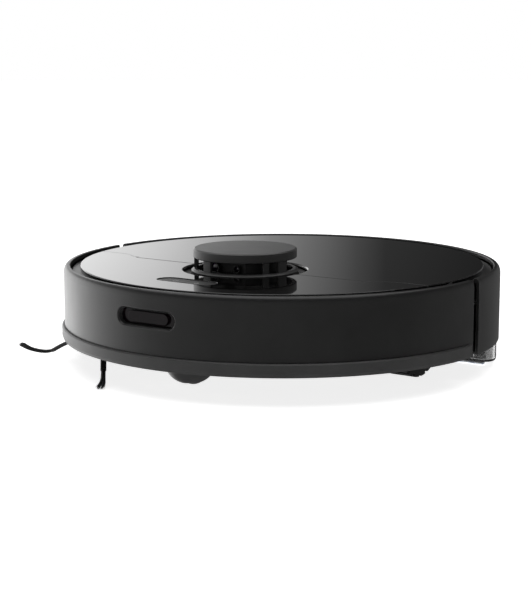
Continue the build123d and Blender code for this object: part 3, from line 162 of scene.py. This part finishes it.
def plastic(name, color, rough, spread=0.05, grain=1400, grain_depth=0.02, mottle=0.12,
            edge=0.0004, wear_and_highlight=0.6, spec=0.5, coat=0.0, metal=0.0, through=0.0, ior=1.5, dust=0.0,
            brushed=None):
    """Moulded or machined surface: fine grain, faint mottling, uneven gloss and softened edges.

    The roughness varies by spread, grain is a scale and grain_depth is in millimetres, edge is the
    radius of the softened edges in metres, and how much lighter the edges are stands partly for
    wear and, when large, for a painted highlight along rims and seams.
    """
    material, g = new_material(name)
    coords = g.coordinates()
    darker, lighter = ([c * (1 + sign * mottle) for c in color[:3]] + [1] for sign in (-1, 1))
    shade = g.mix(g.remap(g.noise(coords, MOTTLE_SCALE, 4), 0, 1), darker, lighter)
    bevel = g.add("ShaderNodeBevel", {"Radius": edge}, samples=4).outputs[0]
    plain = g.add("ShaderNodeNewGeometry").outputs["Normal"]
    # lighter edges: partly wear, and at large amounts a painted highlight along rims and seams
    if wear_and_highlight:
        turned = g.add("ShaderNodeVectorMath", {0: bevel, 1: plain}, operation="DOT_PRODUCT")
        rim = g.remap(turned.outputs["Value"], 1, 0, 0.80, 0.995)
        rim = g.math("MULTIPLY", rim, g.remap(g.noise(coords, WEAR_AND_HIGHLIGHT_SCALE, 2), 0.3, 1.0))
        worn_and_highlit = [min(1, c * (1 + wear_and_highlight) + 0.004 * wear_and_highlight) for c in color[:3]] + [1]
        shade = g.mix(rim, shade, worn_and_highlit)
    if dust:
        facing = g.add("ShaderNodeSeparateXYZ", {0: plain}).outputs[2]
        patches = g.remap(g.noise(coords, DUST_SCALE, 3), 0, 1, 0.55, 0.8)
        lying = g.math("MULTIPLY", g.remap(facing, 0, dust, 0.6, 1.0), patches)
        shade = g.mix(lying, shade, DUST_COLOR)
    gloss = g.remap(g.noise(coords, GLOSS_SCALE, 5, 0.65), rough - spread, rough + spread)
    if brushed:
        stretched = g.add("ShaderNodeMapping", {"Vector": coords, "Scale": brushed}).outputs[0]
        height = g.noise(stretched, BRUSHED_SCALE, 3)
    else:
        height = g.noise(coords, grain, 2)
    bump = g.add("ShaderNodeBump", {"Height": height, "Strength": 0.5,
                                    "Distance": grain_depth * MM, "Normal": bevel}).outputs[0]
    g.surface(g.principled({"Base Color": shade, "Roughness": gloss, "Normal": bump,
                            "Metallic": metal, "IOR": ior, "Specular IOR Level": spec,
                            "Coat Weight": coat, "Coat Roughness": 0.05,
                            "Transmission Weight": through}))
    return material


LOOP_SCALE, STRIPE_SCALE = 620, 26


def microfibre(name, color, other):
    """Looped microfibre with fine stripes."""
    material, g = new_material(name)
    coords = g.coordinates()
    loops = g.add("ShaderNodeTexVoronoi", {"Vector": coords, "Scale": LOOP_SCALE,
                                           "Randomness": 0.8}).outputs["Distance"]
    stripe = g.add("ShaderNodeTexWave", {"Vector": coords, "Scale": STRIPE_SCALE,
                                         "Distortion": 1.2, "Detail": 2, "Detail Scale": 30},
                   bands_direction="X").outputs[1]
    tone = g.mix(g.remap(stripe, 0, 1, 0.4, 0.6), color, other)
    tone = g.mix(g.remap(loops, 0.55, 0, 0, 0.5), tone, grey(0.12))
    fuzz = g.math("MULTIPLY", g.noise(coords, 1500, 2), 0.5)
    height = g.math("ADD", g.math("MULTIPLY", loops, -1.0), fuzz)
    bump = g.add("ShaderNodeBump", {"Height": height, "Strength": 0.9, "Distance": 0.5 * MM})
    rough = g.remap(g.noise(coords, 60, 3), 0.85, 1.0)
    g.surface(g.principled({"Base Color": tone, "Roughness": rough, "Normal": bump.outputs[0],
                            "Sheen Weight": 0.5}))
    return material


# name, colour, roughness, its spread, the grain's scale and depth
MATERIALS = {
    # the strong edge lightening of this black is a painted highlight along the wall's crest and
    # edges
    "body_black": plastic("satin_black", grey(0.0125), 0.34, 0.03, 1500, 0.012,
                          edge=0.0007, wear_and_highlight=9.0),
    "trim_dark": plastic("fine_textured_dark", grey(0.038), 0.44, 0.05, 900, 0.03,
                         edge=0.0005, wear_and_highlight=1.5),
    # the strong edge lightening of the piano black is a painted highlight along the lid's rim and
    # seam
    "lid_gloss": plastic("piano_black", grey(0.0030), 0.035, 0.012, 240, 0.0006,
                         edge=0.0008, wear_and_highlight=20, mottle=0.05),
    "cap_grey": plastic("satin_cap", grey(0.052), 0.36, 0.03, 1300, 0.012, edge=0.0006, wear_and_highlight=1.5),
    "window_dark": plastic("infrared_window", (0.004, 0.002, 0.003, 1), 0.05, 0.02, 400, 0.002,
                           edge=0.0004, wear_and_highlight=2, spec=0.3),
    "key_grey": plastic("key_satin", grey(0.020), 0.42, 0.04, 1300, 0.01, edge=0.0005, wear_and_highlight=2.5),
    "base_grey": plastic("moulded_base", grey(0.020), 0.52, 0.07, 700, 0.05,
                         edge=0.0006, wear_and_highlight=0.7, dust=0.1),
    "tank_smoke": plastic("smoky_tank", grey(0.58), 0.08, 0.04, 500, 0.004,
                          edge=0.0009, wear_and_highlight=0, through=0.96, ior=1.46, mottle=0.04),
    "tank_part": plastic("tank_satin", grey(0.035), 0.42, 0.05, 900, 0.03),
    "silicone": plastic("soft_silicone", grey(0.05), 0.62, 0.05, 500, 0.02),
    "tyre_black": plastic("tread_rubber", grey(0.014), 0.70, 0.08, 420, 0.08, wear_and_highlight=1.2, dust=0.25),
    "brush_rubber": plastic("roller_rubber", grey(0.030), 0.58, 0.06, 600, 0.03),
    "brush_red": plastic("latch_red", (0.42, 0.045, 0.02, 1), 0.36, 0.05, 900, 0.02),
    "arm_rubber": plastic("arm_rubber", grey(0.016), 0.50, 0.06, 700, 0.02, wear_and_highlight=1.5, edge=0.0008),
    "bristle": plastic("nylon_bristle", grey(0.018), 0.38, 0.08, 2500, 0.01, wear_and_highlight=0),
    "steel": plastic("machined_steel", grey(0.55), 0.30, 0.08, 700, 0.01,
                     metal=1, brushed=(1, 1, 12)),
    "contact": plastic("plated_contact", (0.78, 0.72, 0.58, 1), 0.20, 0.06, 500, 0.01,
                       metal=1, brushed=(14, 1, 1)),
    "motor": plastic("drawn_can", grey(0.48), 0.34, 0.08, 600, 0.01, metal=1, brushed=(1, 1, 20)),
    "cells": plastic("cell_sleeve", (0.02, 0.10, 0.22, 1), 0.32, grain=300, mottle=0.2),
    "board": plastic("solder_mask", (0.008, 0.09, 0.03, 1), 0.30, 0.08, 260, 0.03, mottle=0.5),
    "chips": plastic("chip_moulding", grey(0.02), 0.5, 0.06, 1200, 0.02),
    "bin_clear": plastic("smoky_bin", grey(0.45), 0.12, 0.05, 500, 0.004,
                         wear_and_highlight=0, through=0.85, ior=1.46),
    "filter_paper": plastic("pleated_filter", (0.72, 0.70, 0.62, 1), 0.9, 0.05, 700, 0.15, wear_and_highlight=0),
    "inner_plastic": plastic("inner_moulding", grey(0.022), 0.48, 0.06, 900, 0.03),
    "belt_rubber": plastic("belt_rubber", grey(0.012), 0.6, 0.06, 800, 0.03, wear_and_highlight=0),
    "cloth": microfibre("microfibre", (0.62, 0.64, 0.68, 1), (0.42, 0.46, 0.54, 1)),
}
ICON = plastic("icon_white", grey(0.75), 0.5, 0.05, 900, 0.005, wear_and_highlight=0)
FOAM = plastic("exhaust_foam", grey(0.010), 0.9, 0.05, 260, 0.6, wear_and_highlight=0)
LENS = plastic("coated_lens", (0.02, 0.008, 0.03, 1), 0.04, 0.02, 300, 0.0005, coat=1.0)

for part in frame["record"]["subparts"]:
    mesh = nodes[part["node"]].data
    mesh.materials.clear()
    mesh.materials.append(MATERIALS[part["material_slot"]])


# ------------------------------------------------------------------ new pieces
def mesh_object(name, bm, material):
    """Turns a bmesh into an object in the scene."""
    mesh = bpy.data.meshes.new(name)
    bm.to_mesh(mesh)
    bm.free()
    mesh.materials.append(material)
    obj = bpy.data.objects.new(name, mesh)
    scene.collection.objects.link(obj)
    return obj


def piece(name, bm, material, body, replaces=(), smooth=35):
    """Turns a bmesh into a piece that rides on a body; edges sharper than smooth stay sharp."""
    bmesh.ops.remove_doubles(bm, verts=bm.verts, dist=1e-6)
    bmesh.ops.recalc_face_normals(bm, faces=bm.faces)
    bm.normal_update()
    angles = [edge.calc_face_angle(math.pi) for edge in bm.edges]
    obj = mesh_object(name, bm, material)
    obj.data.shade_smooth()
    for edge, angle in zip(obj.data.edges, angles):
        edge.use_edge_sharp = angle > math.radians(smooth)
    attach(obj, body)
    if replaces:
        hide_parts(*replaces)
    return obj


def band(bm, a, b):
    """Joins two rings of vertices with faces."""
    for i in range(len(a)):
        j = (i + 1) % len(a)
        bm.faces.new((a[i], a[j], b[j], b[i]))


def add_rings(bm, rings):
    return [[bm.verts.new(point) for point in ring] for ring in rings]


def loft(bm, rings):
    """Skins a list of rings of points, with a face at each end."""
    made = add_rings(bm, rings)
    for a, b in zip(made, made[1:]):
        band(bm, a, b)
    bm.faces.new(list(reversed(made[0])))
    bm.faces.new(made[-1])


def loft_round(bm, rings):
    """Skins rings of points that lead back to the first ring."""
    made = add_rings(bm, rings)
    for a, b in zip(made, made[1:] + made[:1]):
        band(bm, a, b)


def grid_faces(bm, grid):
    """Skins rows of vertices."""
    for row, following in zip(grid, grid[1:]):
        for j in range(len(row) - 1):
            bm.faces.new((row[j], following[j], following[j + 1], row[j + 1]))


def circle(radius, count):
    """(across, up) points of a circle."""
    angles = [TURN * k / count for k in range(count)]
    return [(radius * math.cos(a), radius * math.sin(a)) for a in angles]


def rounded_section(width, thickness, radius, steps=4):
    """(across, up) points of a rounded rectangle."""
    points = []
    for corner, (sx, sy) in enumerate(((1, 1), (-1, 1), (-1, -1), (1, -1))):
        for k in range(steps + 1):
            a = math.pi / 2 * (corner + k / steps)
            points.append((sx * (width / 2 - radius) + radius * math.cos(a),
                           sy * (thickness / 2 - radius) + radius * math.sin(a)))
    return points


def smooth_line(points, steps=6):
    """Catmull-Rom points through a list of vectors."""
    padded = [2 * points[0] - points[1], *points, 2 * points[-1] - points[-2]]
    line = []
    for i in range(1, len(padded) - 2):
        a, b, c, d = padded[i - 1:i + 3]
        for k in range(steps):
            t = k / steps
            line.append(0.5 * ((2 * b) + (c - a) * t + (2 * a - 5 * b + 4 * c - d) * t * t
                               + (3 * b - 3 * c + d - a) * t ** 3))
    line.append(points[-1])
    return line


def direction_at(line, i):
    return line[min(i + 1, len(line) - 1)] - line[max(i - 1, 0)]


def sweep(bm, line, section, side):
    """Sweeps a section along a line that stays in one upright plane; side is across it."""
    rings = []
    for i, point in enumerate(line):
        up = side.cross(direction_at(line, i)).normalized()
        if up.z < 0:
            up.negate()
        rings.append([point + side * a + up * b for a, b in section])
    loft(bm, rings)


def tube(bm, line, radius, sides=5):
    """Thin round strand along a line, narrower at its end."""
    rings = []
    for i, point in enumerate(line):
        ahead = direction_at(line, i).normalized()
        side = ahead.cross(Vector((0, 0, 1)))
        side = side.normalized() if side.length > 1e-4 else Vector((1, 0, 0))
        up = side.cross(ahead)
        width = radius * (0.55 if i == len(line) - 1 else 1.0)
        rings.append([point + (side * math.cos(a) + up * math.sin(a)) * width
                      for a in (TURN * k / sides for k in range(sides))])
    loft(bm, rings)


# side brush: hub with three rubber arms, and bundles of bristles
SIDE = Vector((-96, -109, 0)) * MM
FIRST_ARM = -173.9
# soft arms never sit exactly a third of a turn apart
ARM_TURNED = (0.0, 4.0, -1.5)
HUB_BOTTOM, HUB_TOP = 11.0, 19.0
HUB_SEGMENTS = 72
# (radius, height) round the hub's section: bore, socket, top, side, ring groove and screw recess
HUB_PROFILE = [
    (1.5, HUB_BOTTOM + 1.8), (1.5, HUB_TOP - 4), (3.05, HUB_TOP - 4), (3.05, HUB_TOP),
    (11.4, HUB_TOP), (12, HUB_TOP - 0.6), (12, HUB_BOTTOM + 1.4), (11.5, HUB_BOTTOM + 0.4),
    (10.6, HUB_BOTTOM), (6.4, HUB_BOTTOM), (6.0, HUB_BOTTOM + 0.4), (5.4, HUB_BOTTOM + 0.4),
    (5.0, HUB_BOTTOM), (3.7, HUB_BOTTOM), (3.6, HUB_BOTTOM + 0.1), (3.6, HUB_BOTTOM + 1.8),
]
ARM_WIDTH, ARM_THICKNESS, ARM_ROUNDING = 4.6, 2.9, 1.1
# (distance from the hub's axis, height) along an arm, and along each arm's bristles
ARM_LINE = [(9, 16.2), (20, 16.3), (31, 16.2), (36, 15.4), (41, 13.2), (46, 10.5), (50.5, 8.0)]
BRISTLE_LINES = [
    [(47, 9.9), (50.5, 8.1), (57, 6.4), (66, 6.2), (75, 7.4), (83, 9.9)],
    [(47, 9.9), (50.5, 8.0), (60, 5.8), (72, 3.5), (83, 1.6)],
    [(47, 9.9), (50.5, 8.0), (60, 5.9), (72, 3.7), (83, 1.8)],
]
STRANDS, STRAND_RADIUS = 90, 0.15
BUNDLE_HALF_WIDTH, BUNDLE_HALF_HEIGHT, BUNDLE_SPIRAL = 1.75, 1.25, 9
# how far strands spread, where they end, and how they curl
FLARE_RANGE, STOP_RANGE, CURL_SPREAD = (1.5, 2.3), (0.965, 1.01), 0.35
# the bundles leave the rubber at ROOT, and spread from FLARE_START over FLARE_LENGTH
ROOT, FLARE_START, FLARE_LENGTH = 51, 50, 33
SIDEWAYS_BEND = (0.0, -2.2, 0.0)
LOWEST_STRAND = 0.35


def arm_frame(arm):
    """Directions along and across an arm."""
    angle = math.radians(FIRST_ARM + 120 * arm + ARM_TURNED[arm])
    along = Vector((math.cos(angle), math.sin(angle), 0))
    return along, Vector((-math.sin(angle), math.cos(angle), 0))


def make_side_hub():
    bm = bmesh.new()
    loft_round(bm, [[SIDE + Vector((x, y, height)) * MM for x, y in circle(radius, HUB_SEGMENTS)]
                    for radius, height in HUB_PROFILE])
    rubber = MATERIALS["arm_rubber"]
    piece("side_hub", bm, rubber, "side_brush", ["side_brush_hub"])
    section = rounded_section(ARM_WIDTH, ARM_THICKNESS, ARM_ROUNDING)
    for arm in range(3):
        out, across = arm_frame(arm)
        bm = bmesh.new()
        line = smooth_line([SIDE + (out * r + Vector((0, 0, z))) * MM for r, z in ARM_LINE])
        sweep(bm, line, [(a * MM, b * MM) for a, b in section], across)
        piece(f"side_arm_{arm + 1}", bm, rubber, "side_brush")


def make_bristles():
    for arm, heights in enumerate(BRISTLE_LINES):
        out, across = arm_frame(arm)
        bm = bmesh.new()
        for strand in range(STRANDS):
            spot = strand / STRANDS * TURN * BUNDLE_SPIRAL
            reach = math.sqrt((strand + 0.5) / STRANDS)
            start_across = BUNDLE_HALF_WIDTH * reach * math.cos(spot)
            start_up = BUNDLE_HALF_HEIGHT * reach * math.sin(spot)
            flare = random.uniform(*FLARE_RANGE)
            stop = random.uniform(*STOP_RANGE)
            curl = random.gauss(0, CURL_SPREAD)
            points = []
            for r, z in heights:
                along = max(0.0, (r - FLARE_START) / FLARE_LENGTH)
                drift = curl * along ** 2
                aside = start_across * (1 + (flare - 1) * along ** 3) + drift
                aside += SIDEWAYS_BEND[arm] * along ** 5
                distance = r if r <= ROOT else ROOT + (r - ROOT) * stop
                height = max(z + start_up * (1 + 0.2 * along) + drift * 0.5, LOWEST_STRAND)
                points.append(SIDE + (out * distance + across * aside
                                      + Vector((0, 0, height))) * MM)
            tube(bm, smooth_line(points, 4), STRAND_RADIUS * MM)
        piece(f"bristles_{arm + 1}", bm, MATERIALS["bristle"], "side_brush",
              ["side_brush_bristles"] if arm == 0 else ())


# main roller: six chevron rows, every other one a row of bristle tufts
ROLLER = Vector((0, 2, 24)) * MM
ROLLER_HALF = 78.6
ROW_SPACING, FIRST_ROW, CHEVRON = 60, 30, 42
FIN_STEPS = 80
# (distance from the roller's axis, across) round a fin's section
FIN_SECTION = [(8.0, -2.6), (9.6, -1.5), (15, -1.2), (21.6, -0.8), (22.2, -0.3),
               (22.2, 0.3), (21.6, 0.8), (15, 1.2), (9.6, 1.5), (8.0, 2.6)]
TUFTS, TUFT_STRANDS, TUFT_RADIUS = 34, 9, 0.9
TUFT_END_GAP, TUFT_SPIRAL, TUFT_STRAND_RADIUS, TUFT_LEAN = 2, 2.4, 0.14, 0.25
# (distance from the roller's axis, spread) along a tuft
TUFT_LINE = ((7.8, 1), (14, 1.3), (22.0, 1.9))


def row_frame(row, x):
    """Directions out of and across a chevron row at x."""
    a = math.radians(ROW_SPACING * row + FIRST_ROW + CHEVRON * (1 - abs(x) / ROLLER_HALF))
    return Vector((0, math.cos(a), math.sin(a))), Vector((0, -math.sin(a), math.cos(a)))


def make_fin(row):
    rings = []
    for k in range(FIN_STEPS + 1):
        x = -ROLLER_HALF + 2 * ROLLER_HALF * k / FIN_STEPS
        out, across = row_frame(row, x)
        rings.append([ROLLER + (Vector((x, 0, 0)) + out * r + across * w) * MM
                      for r, w in FIN_SECTION])
    bm = bmesh.new()
    loft(bm, rings)
    piece(f"roller_fin_{row // 2 + 1}", bm, MATERIALS["brush_rubber"], "main_brush",
          ["main_brush_fins"] if row == 0 else ())


def make_tufts(row):
    bm = bmesh.new()
    for tuft in range(TUFTS):
        x = -ROLLER_HALF + TUFT_END_GAP + tuft * 2 * (ROLLER_HALF - TUFT_END_GAP) / (TUFTS - 1)
        out, across = row_frame(row, x)
        for strand in range(TUFT_STRANDS):
            spot = strand * TUFT_SPIRAL
            reach = TUFT_RADIUS * math.sqrt(strand / TUFT_STRANDS)
            dx, aside = reach * math.cos(spot), reach * math.sin(spot)
            aside += random.gauss(0, TUFT_LEAN)
            line = [ROLLER + (Vector((x + dx * s, 0, 0)) + out * r + across * aside * s) * MM
                    for r, s in TUFT_LINE]
            tube(bm, line, TUFT_STRAND_RADIUS * MM, 4)
    piece(f"roller_tufts_{row // 2 + 1}", bm, MATERIALS["bristle"], "main_brush")


def make_roller():
    for row in range(0, 6, 2):
        make_fin(row)
    for row in range(1, 6, 2):
        make_tufts(row)


# mop cloth: rounded pad with shallow quilted waves
CLOTH_HALF = 0.0013
CLOTH_SOFT_RIM = 0.0022
CLOTH_LIFT = 0.00018
CLOTH_ACROSS, CLOTH_DEEP = 96, 32


def make_mop():
    low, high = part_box("mop_cloth")
    front, radius, reach = low.y, high.y, high.x

    def point(u, v, top):
        x = reach * math.sin(u * math.pi / 2)
        back = math.sqrt(max(radius ** 2 - x ** 2, 0))
        y = front + (back - front) * (0.5 - 0.5 * math.cos(v * math.pi))
        rim = min(y - front, radius - math.hypot(x, y), CLOTH_SOFT_RIM + (back - front))
        soft = 1 - max(0.0, 1 - rim / CLOTH_SOFT_RIM) ** 2
        wave = 0.00010 * math.sin(x * 520) + 0.00008 * noise.noise(Vector((x, y, 0)) * 160)
        level = CLOTH_HALF if top else -CLOTH_HALF + wave + CLOTH_LIFT
        return Vector((x, y, CLOTH_HALF + level * (0.35 + 0.65 * soft)))

    bm = bmesh.new()
    across, deep = CLOTH_ACROSS, CLOTH_DEEP
    upper, lower = ([[bm.verts.new(point(2 * i / across - 1, j / deep, top))
                      for j in range(deep + 1)] for i in range(across + 1)]
                    for top in (True, False))
    grid_faces(bm, upper)
    grid_faces(bm, lower)
    edge = [(i, 0) for i in range(across)] + [(across, j) for j in range(deep)]
    edge += [(i, deep) for i in range(across, 0, -1)] + [(0, j) for j in range(deep, 0, -1)]
    band(bm, [upper[i][j] for i, j in edge], [lower[i][j] for i, j in edge])
    pad = piece("mop_pad", bm, MATERIALS["cloth"], "water_tank", ["mop_cloth"], smooth=60)


# plain symbols on the two keys
KEY_TOP = 78.9
ICON_BOTTOM, ICON_TOP = KEY_TOP - 0.01, KEY_TOP + 0.04
POWER_X, HOME_X, ICON_Y = -10.0, 10.0, -125.6
RING_INNER, RING_OUTER, RING_STEPS = 1.75, 2.15, 40
RING_START, RING_SWEEP = 120, 300
STEM_BOTTOM, STEM_TOP, STEM_HALF = 0.5, 2.3, 0.2
HOUSE_OUTER = [(-1.7, -1.9), (1.7, -1.9), (1.7, 0.3), (0, 1.9), (-1.7, 0.3)]
HOUSE_INNER = [(-1.3, -1.5), (1.3, -1.5), (1.3, 0.15), (0, 1.35), (-1.3, 0.15)]


def on_key(x, points, height):
    """Outline of a symbol that is centred on a key, at a height."""
    return [Vector((x + across, ICON_Y + up, height)) * MM for across, up in points]


def make_power_icon():
    """Open ring with a stem in its gap."""
    bm = bmesh.new()
    corners = ((RING_INNER, ICON_BOTTOM), (RING_OUTER, ICON_BOTTOM),
               (RING_OUTER, ICON_TOP), (RING_INNER, ICON_TOP))
    rings = []
    for k in range(RING_STEPS + 1):
        a = math.radians(RING_START + RING_SWEEP * k / RING_STEPS)
        rings.append([Vector((POWER_X + r * math.cos(a), ICON_Y + r * math.sin(a), height)) * MM
                      for r, height in corners])
    loft(bm, rings)
    stem = []
    for centre, first in ((STEM_TOP, 0), (STEM_BOTTOM, math.pi)):
        angles = [first + math.pi * k / 8 for k in range(9)]
        stem += [(STEM_HALF * math.cos(a), centre + STEM_HALF * math.sin(a)) for a in angles]
    loft(bm, [on_key(POWER_X, stem, height) for height in (ICON_BOTTOM, ICON_TOP)])
    piece("icon_power", bm, ICON, "power_key")


def make_home_icon():
    """Outline of a house."""
    bm = bmesh.new()
    levels = ((HOUSE_OUTER, ICON_BOTTOM), (HOUSE_OUTER, ICON_TOP),
              (HOUSE_INNER, ICON_TOP), (HOUSE_INNER, ICON_BOTTOM))
    loft_round(bm, [on_key(HOME_X, points, height) for points, height in levels])
    piece("icon_home", bm, ICON, "home_key")


# lenses of the laser head: name, place across, radius
LENSES = (("laser_lens", -10 * MM, 3.55 * MM), ("receiver_lens", 11 * MM, 2.15 * MM))
LENS_AHEAD = 0.0247
LENS_HEIGHT = 0.083
LENS_BULGE = 0.28
LENS_RINGS = 6


def make_lenses():
    low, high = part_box("lidar_drum")
    front = (low.y + high.y) / 2 - LENS_AHEAD
    for name, x, radius in LENSES:
        bm = bmesh.new()
        rings = []
        for k in range(LENS_RINGS + 1):
            a = math.pi / 2 * k / LENS_RINGS * 0.98
            y = front - LENS_BULGE * radius * math.sin(a)
            rings.append([Vector((x + across, y, LENS_HEIGHT + up))
                          for across, up in circle(radius * math.cos(a), 36)])
        loft(bm, rings)
        piece(name, bm, LENS, "lidar_head", smooth=60)


# foam behind the exhaust slots, from one bearing to another
FOAM_START, FOAM_SWEEP, FOAM_STEPS = 130, 38, 48
FOAM_ROUGH = 0.12
FOAM_SECTION = ((171.6, 37), (171.6, 55), (169.8, 55), (169.8, 37))


def make_foam():
    bm = bmesh.new()
    rings = []
    for k in range(FOAM_STEPS + 1):
        a = math.radians(FOAM_START + FOAM_SWEEP * k / FOAM_STEPS)
        out = Vector((math.sin(a), -math.cos(a), 0))
        rough = FOAM_ROUGH * noise.noise(Vector((k * 0.9, 0, 0)))
        rings.append([out * (r + rough) * MM + Vector((0, 0, z * MM)) for r, z in FOAM_SECTION])
    loft(bm, rings)
    piece("exhaust_foam", bm, FOAM, "chassis")


make_side_hub()
make_bristles()
make_roller()
make_mop()
make_power_icon()
make_home_icon()
make_lenses()
make_foam()

# ------------------------------------------------------------------ floor, backdrop and lights
STAGE_RADIUS = 7.5
FLOOR_DROP = 0.0002
# the floor's own light near the robot and further out, and the distances where it starts and
# stops growing
GLOW_NEAR, GLOW_FAR = 0.82, 1.05
GLOW_FROM, GLOW_TO = 0.35, 1.2
OVERHEAD_ELEVATION, OVERHEAD_DISTANCE = math.radians(88), 2.2
OVERHEAD_SIZE, OVERHEAD_POWER = 3.2, 45
AIM_HEIGHT = 0.05
AMBIENT = 0.10
RING_DISTANCE, RING_HEIGHT = 3.0, 0.08
RING_COLUMNS, RING_ROWS = 240, 40
RING_LOW, RING_HIGH = -40, 60
# How bright the ring of light is, by bearing from the camera's forward direction (left is
# negative), and by elevation as seen from the robot. The levels were set from the greys
# along the wall and the lid in the photograph and from comparing renders with it.
ROUND_LIGHT = [(-180, 0.25), (-146, 0.32), (-124, 0.48), (-105, 0.58), (-83, 1.5), (-66, 2.0),
               (-55, 2.4), (-43, 2.7), (-25, 2.3), (-14, 1.85), (-11, 1.78), (-5.4, 1.2),
               (0, 0.42), (5.4, 0.06), (13, 0.02), (19, 0.2), (27, 0.24), (44, 0.20), (80, 0.22),
               (102, 0.20), (130, 0.12), (150, 0.16), (180, 0.25)]
TALL_LIGHT = [(-40, 0.6), (-12, 0.95), (0, 1.0), (12, 1.0), (16, 0.4), (26, 0.2), (40, 0.14),
              (60, 0.10)]


def stage_object(name, bm, material, **visible):
    """Floor, backdrop or light panel, which isn't part of the robot."""
    obj = mesh_object(name, bm, material)
    for key, value in visible.items():
        setattr(obj, key, value)
    return obj


def glow_material(name, attribute=None):
    """White light of strength 1, or of the strength that a vertex attribute gives."""
    material, g = new_material(name)
    strength = 1.0
    if attribute:
        strength = g.add("ShaderNodeAttribute", attribute_name=attribute).outputs["Fac"]
    emission = g.add("ShaderNodeEmission", {"Color": WHITE, "Strength": strength})
    g.surface(emission.outputs[0])
    return material


def floor_material():
    """Pale plain floor that is clear from below, so that the underside can be looked at."""
    material, g = new_material("pale_floor")
    coords = g.coordinates()
    tone = g.mix(g.remap(g.noise(coords, 3, 3), 0, 1), grey(0.90), grey(0.92))
    away = g.add("ShaderNodeVectorMath", {0: coords}, operation="LENGTH").outputs["Value"]
    strength = g.remap(away, GLOW_NEAR, GLOW_FAR, GLOW_FROM, GLOW_TO)
    pale = g.principled({"Base Color": tone, "Roughness": 0.9, "Specular IOR Level": 0.1,
                         "Emission Color": WHITE, "Emission Strength": strength})
    below = g.add("ShaderNodeNewGeometry").outputs["Backfacing"]
    clear = g.add("ShaderNodeBsdfTransparent").outputs[0]
    g.surface(g.add("ShaderNodeMixShader", {0: below, 1: pale, 2: clear}).outputs[0])
    return material


def make_stage():
    bm = bmesh.new()
    bmesh.ops.create_circle(bm, cap_ends=True, cap_tris=False, segments=96, radius=STAGE_RADIUS)
    floor = stage_object("floor", bm, floor_material(), visible_glossy=False)
    floor.location.z = -FLOOR_DROP
    bm = bmesh.new()
    bmesh.ops.create_uvsphere(bm, u_segments=64, v_segments=32, radius=STAGE_RADIUS)
    stage_object("backdrop", bm, glow_material("backdrop_white"), visible_diffuse=False,
                 visible_glossy=False, visible_shadow=False)


def level_direction(bearing):
    """Level direction at a bearing from the camera's forward direction, to the right."""
    angle = math.radians(bearing)
    away = VIEW_FORWARD * math.cos(angle) + VIEW_RIGHT * math.sin(angle)
    return Vector((away.x, away.y, 0)).normalized()


def make_overhead():
    """Large soft light nearly straight above the robot."""
    rise = OVERHEAD_DISTANCE * math.sin(OVERHEAD_ELEVATION) + AIM_HEIGHT
    place = level_direction(0) * OVERHEAD_DISTANCE * math.cos(OVERHEAD_ELEVATION)
    place += Vector((0, 0, rise))
    data = bpy.data.lights.new("overhead", "AREA")
    data.shape = "RECTANGLE"
    data.size = data.size_y = OVERHEAD_SIZE
    data.energy = OVERHEAD_POWER
    light = bpy.data.objects.new("overhead", data)
    scene.collection.objects.link(light)
    light.location = place
    aim = Vector((0, 0, AIM_HEIGHT)) - place
    light.rotation_euler = aim.to_track_quat("-Z", "Y").to_euler()


def value_at(points, place):
    """Straight-line value between (place, value) points."""
    for (a, value_a), (b, value_b) in zip(points, points[1:]):
        if place <= b:
            return value_a + (value_b - value_a) * (place - a) / (b - a)
    return points[-1][1]


def make_ring():
    """Upright ring of soft light round the robot, seen only in gloss."""
    bm = bmesh.new()
    layer = bm.verts.layers.float.new("glow")
    grid = []
    for i in range(RING_COLUMNS + 1):
        bearing = -180 + 360 * i / RING_COLUMNS
        away = level_direction(bearing)
        column = []
        for j in range(RING_ROWS + 1):
            rise = RING_LOW + (RING_HIGH - RING_LOW) * j / RING_ROWS
            up = RING_HEIGHT + RING_DISTANCE * math.tan(math.radians(rise))
            vert = bm.verts.new(away * RING_DISTANCE + Vector((0, 0, up)))
            vert[layer] = value_at(ROUND_LIGHT, bearing) * value_at(TALL_LIGHT, rise)
            column.append(vert)
        grid.append(column)
    grid_faces(bm, grid)
    stage_object("surround", bm, glow_material("surround_glow", "glow"), visible_camera=False,
                 visible_diffuse=False, visible_shadow=False)


make_stage()
make_overhead()
make_ring()

world = bpy.data.worlds.new("studio")
scene.world = world
world_graph = Graph(world)
ambient = world_graph.add("ShaderNodeBackground", {"Color": WHITE, "Strength": AMBIENT})
world_graph.add("ShaderNodeOutputWorld", {"Surface": ambient.outputs[0]})
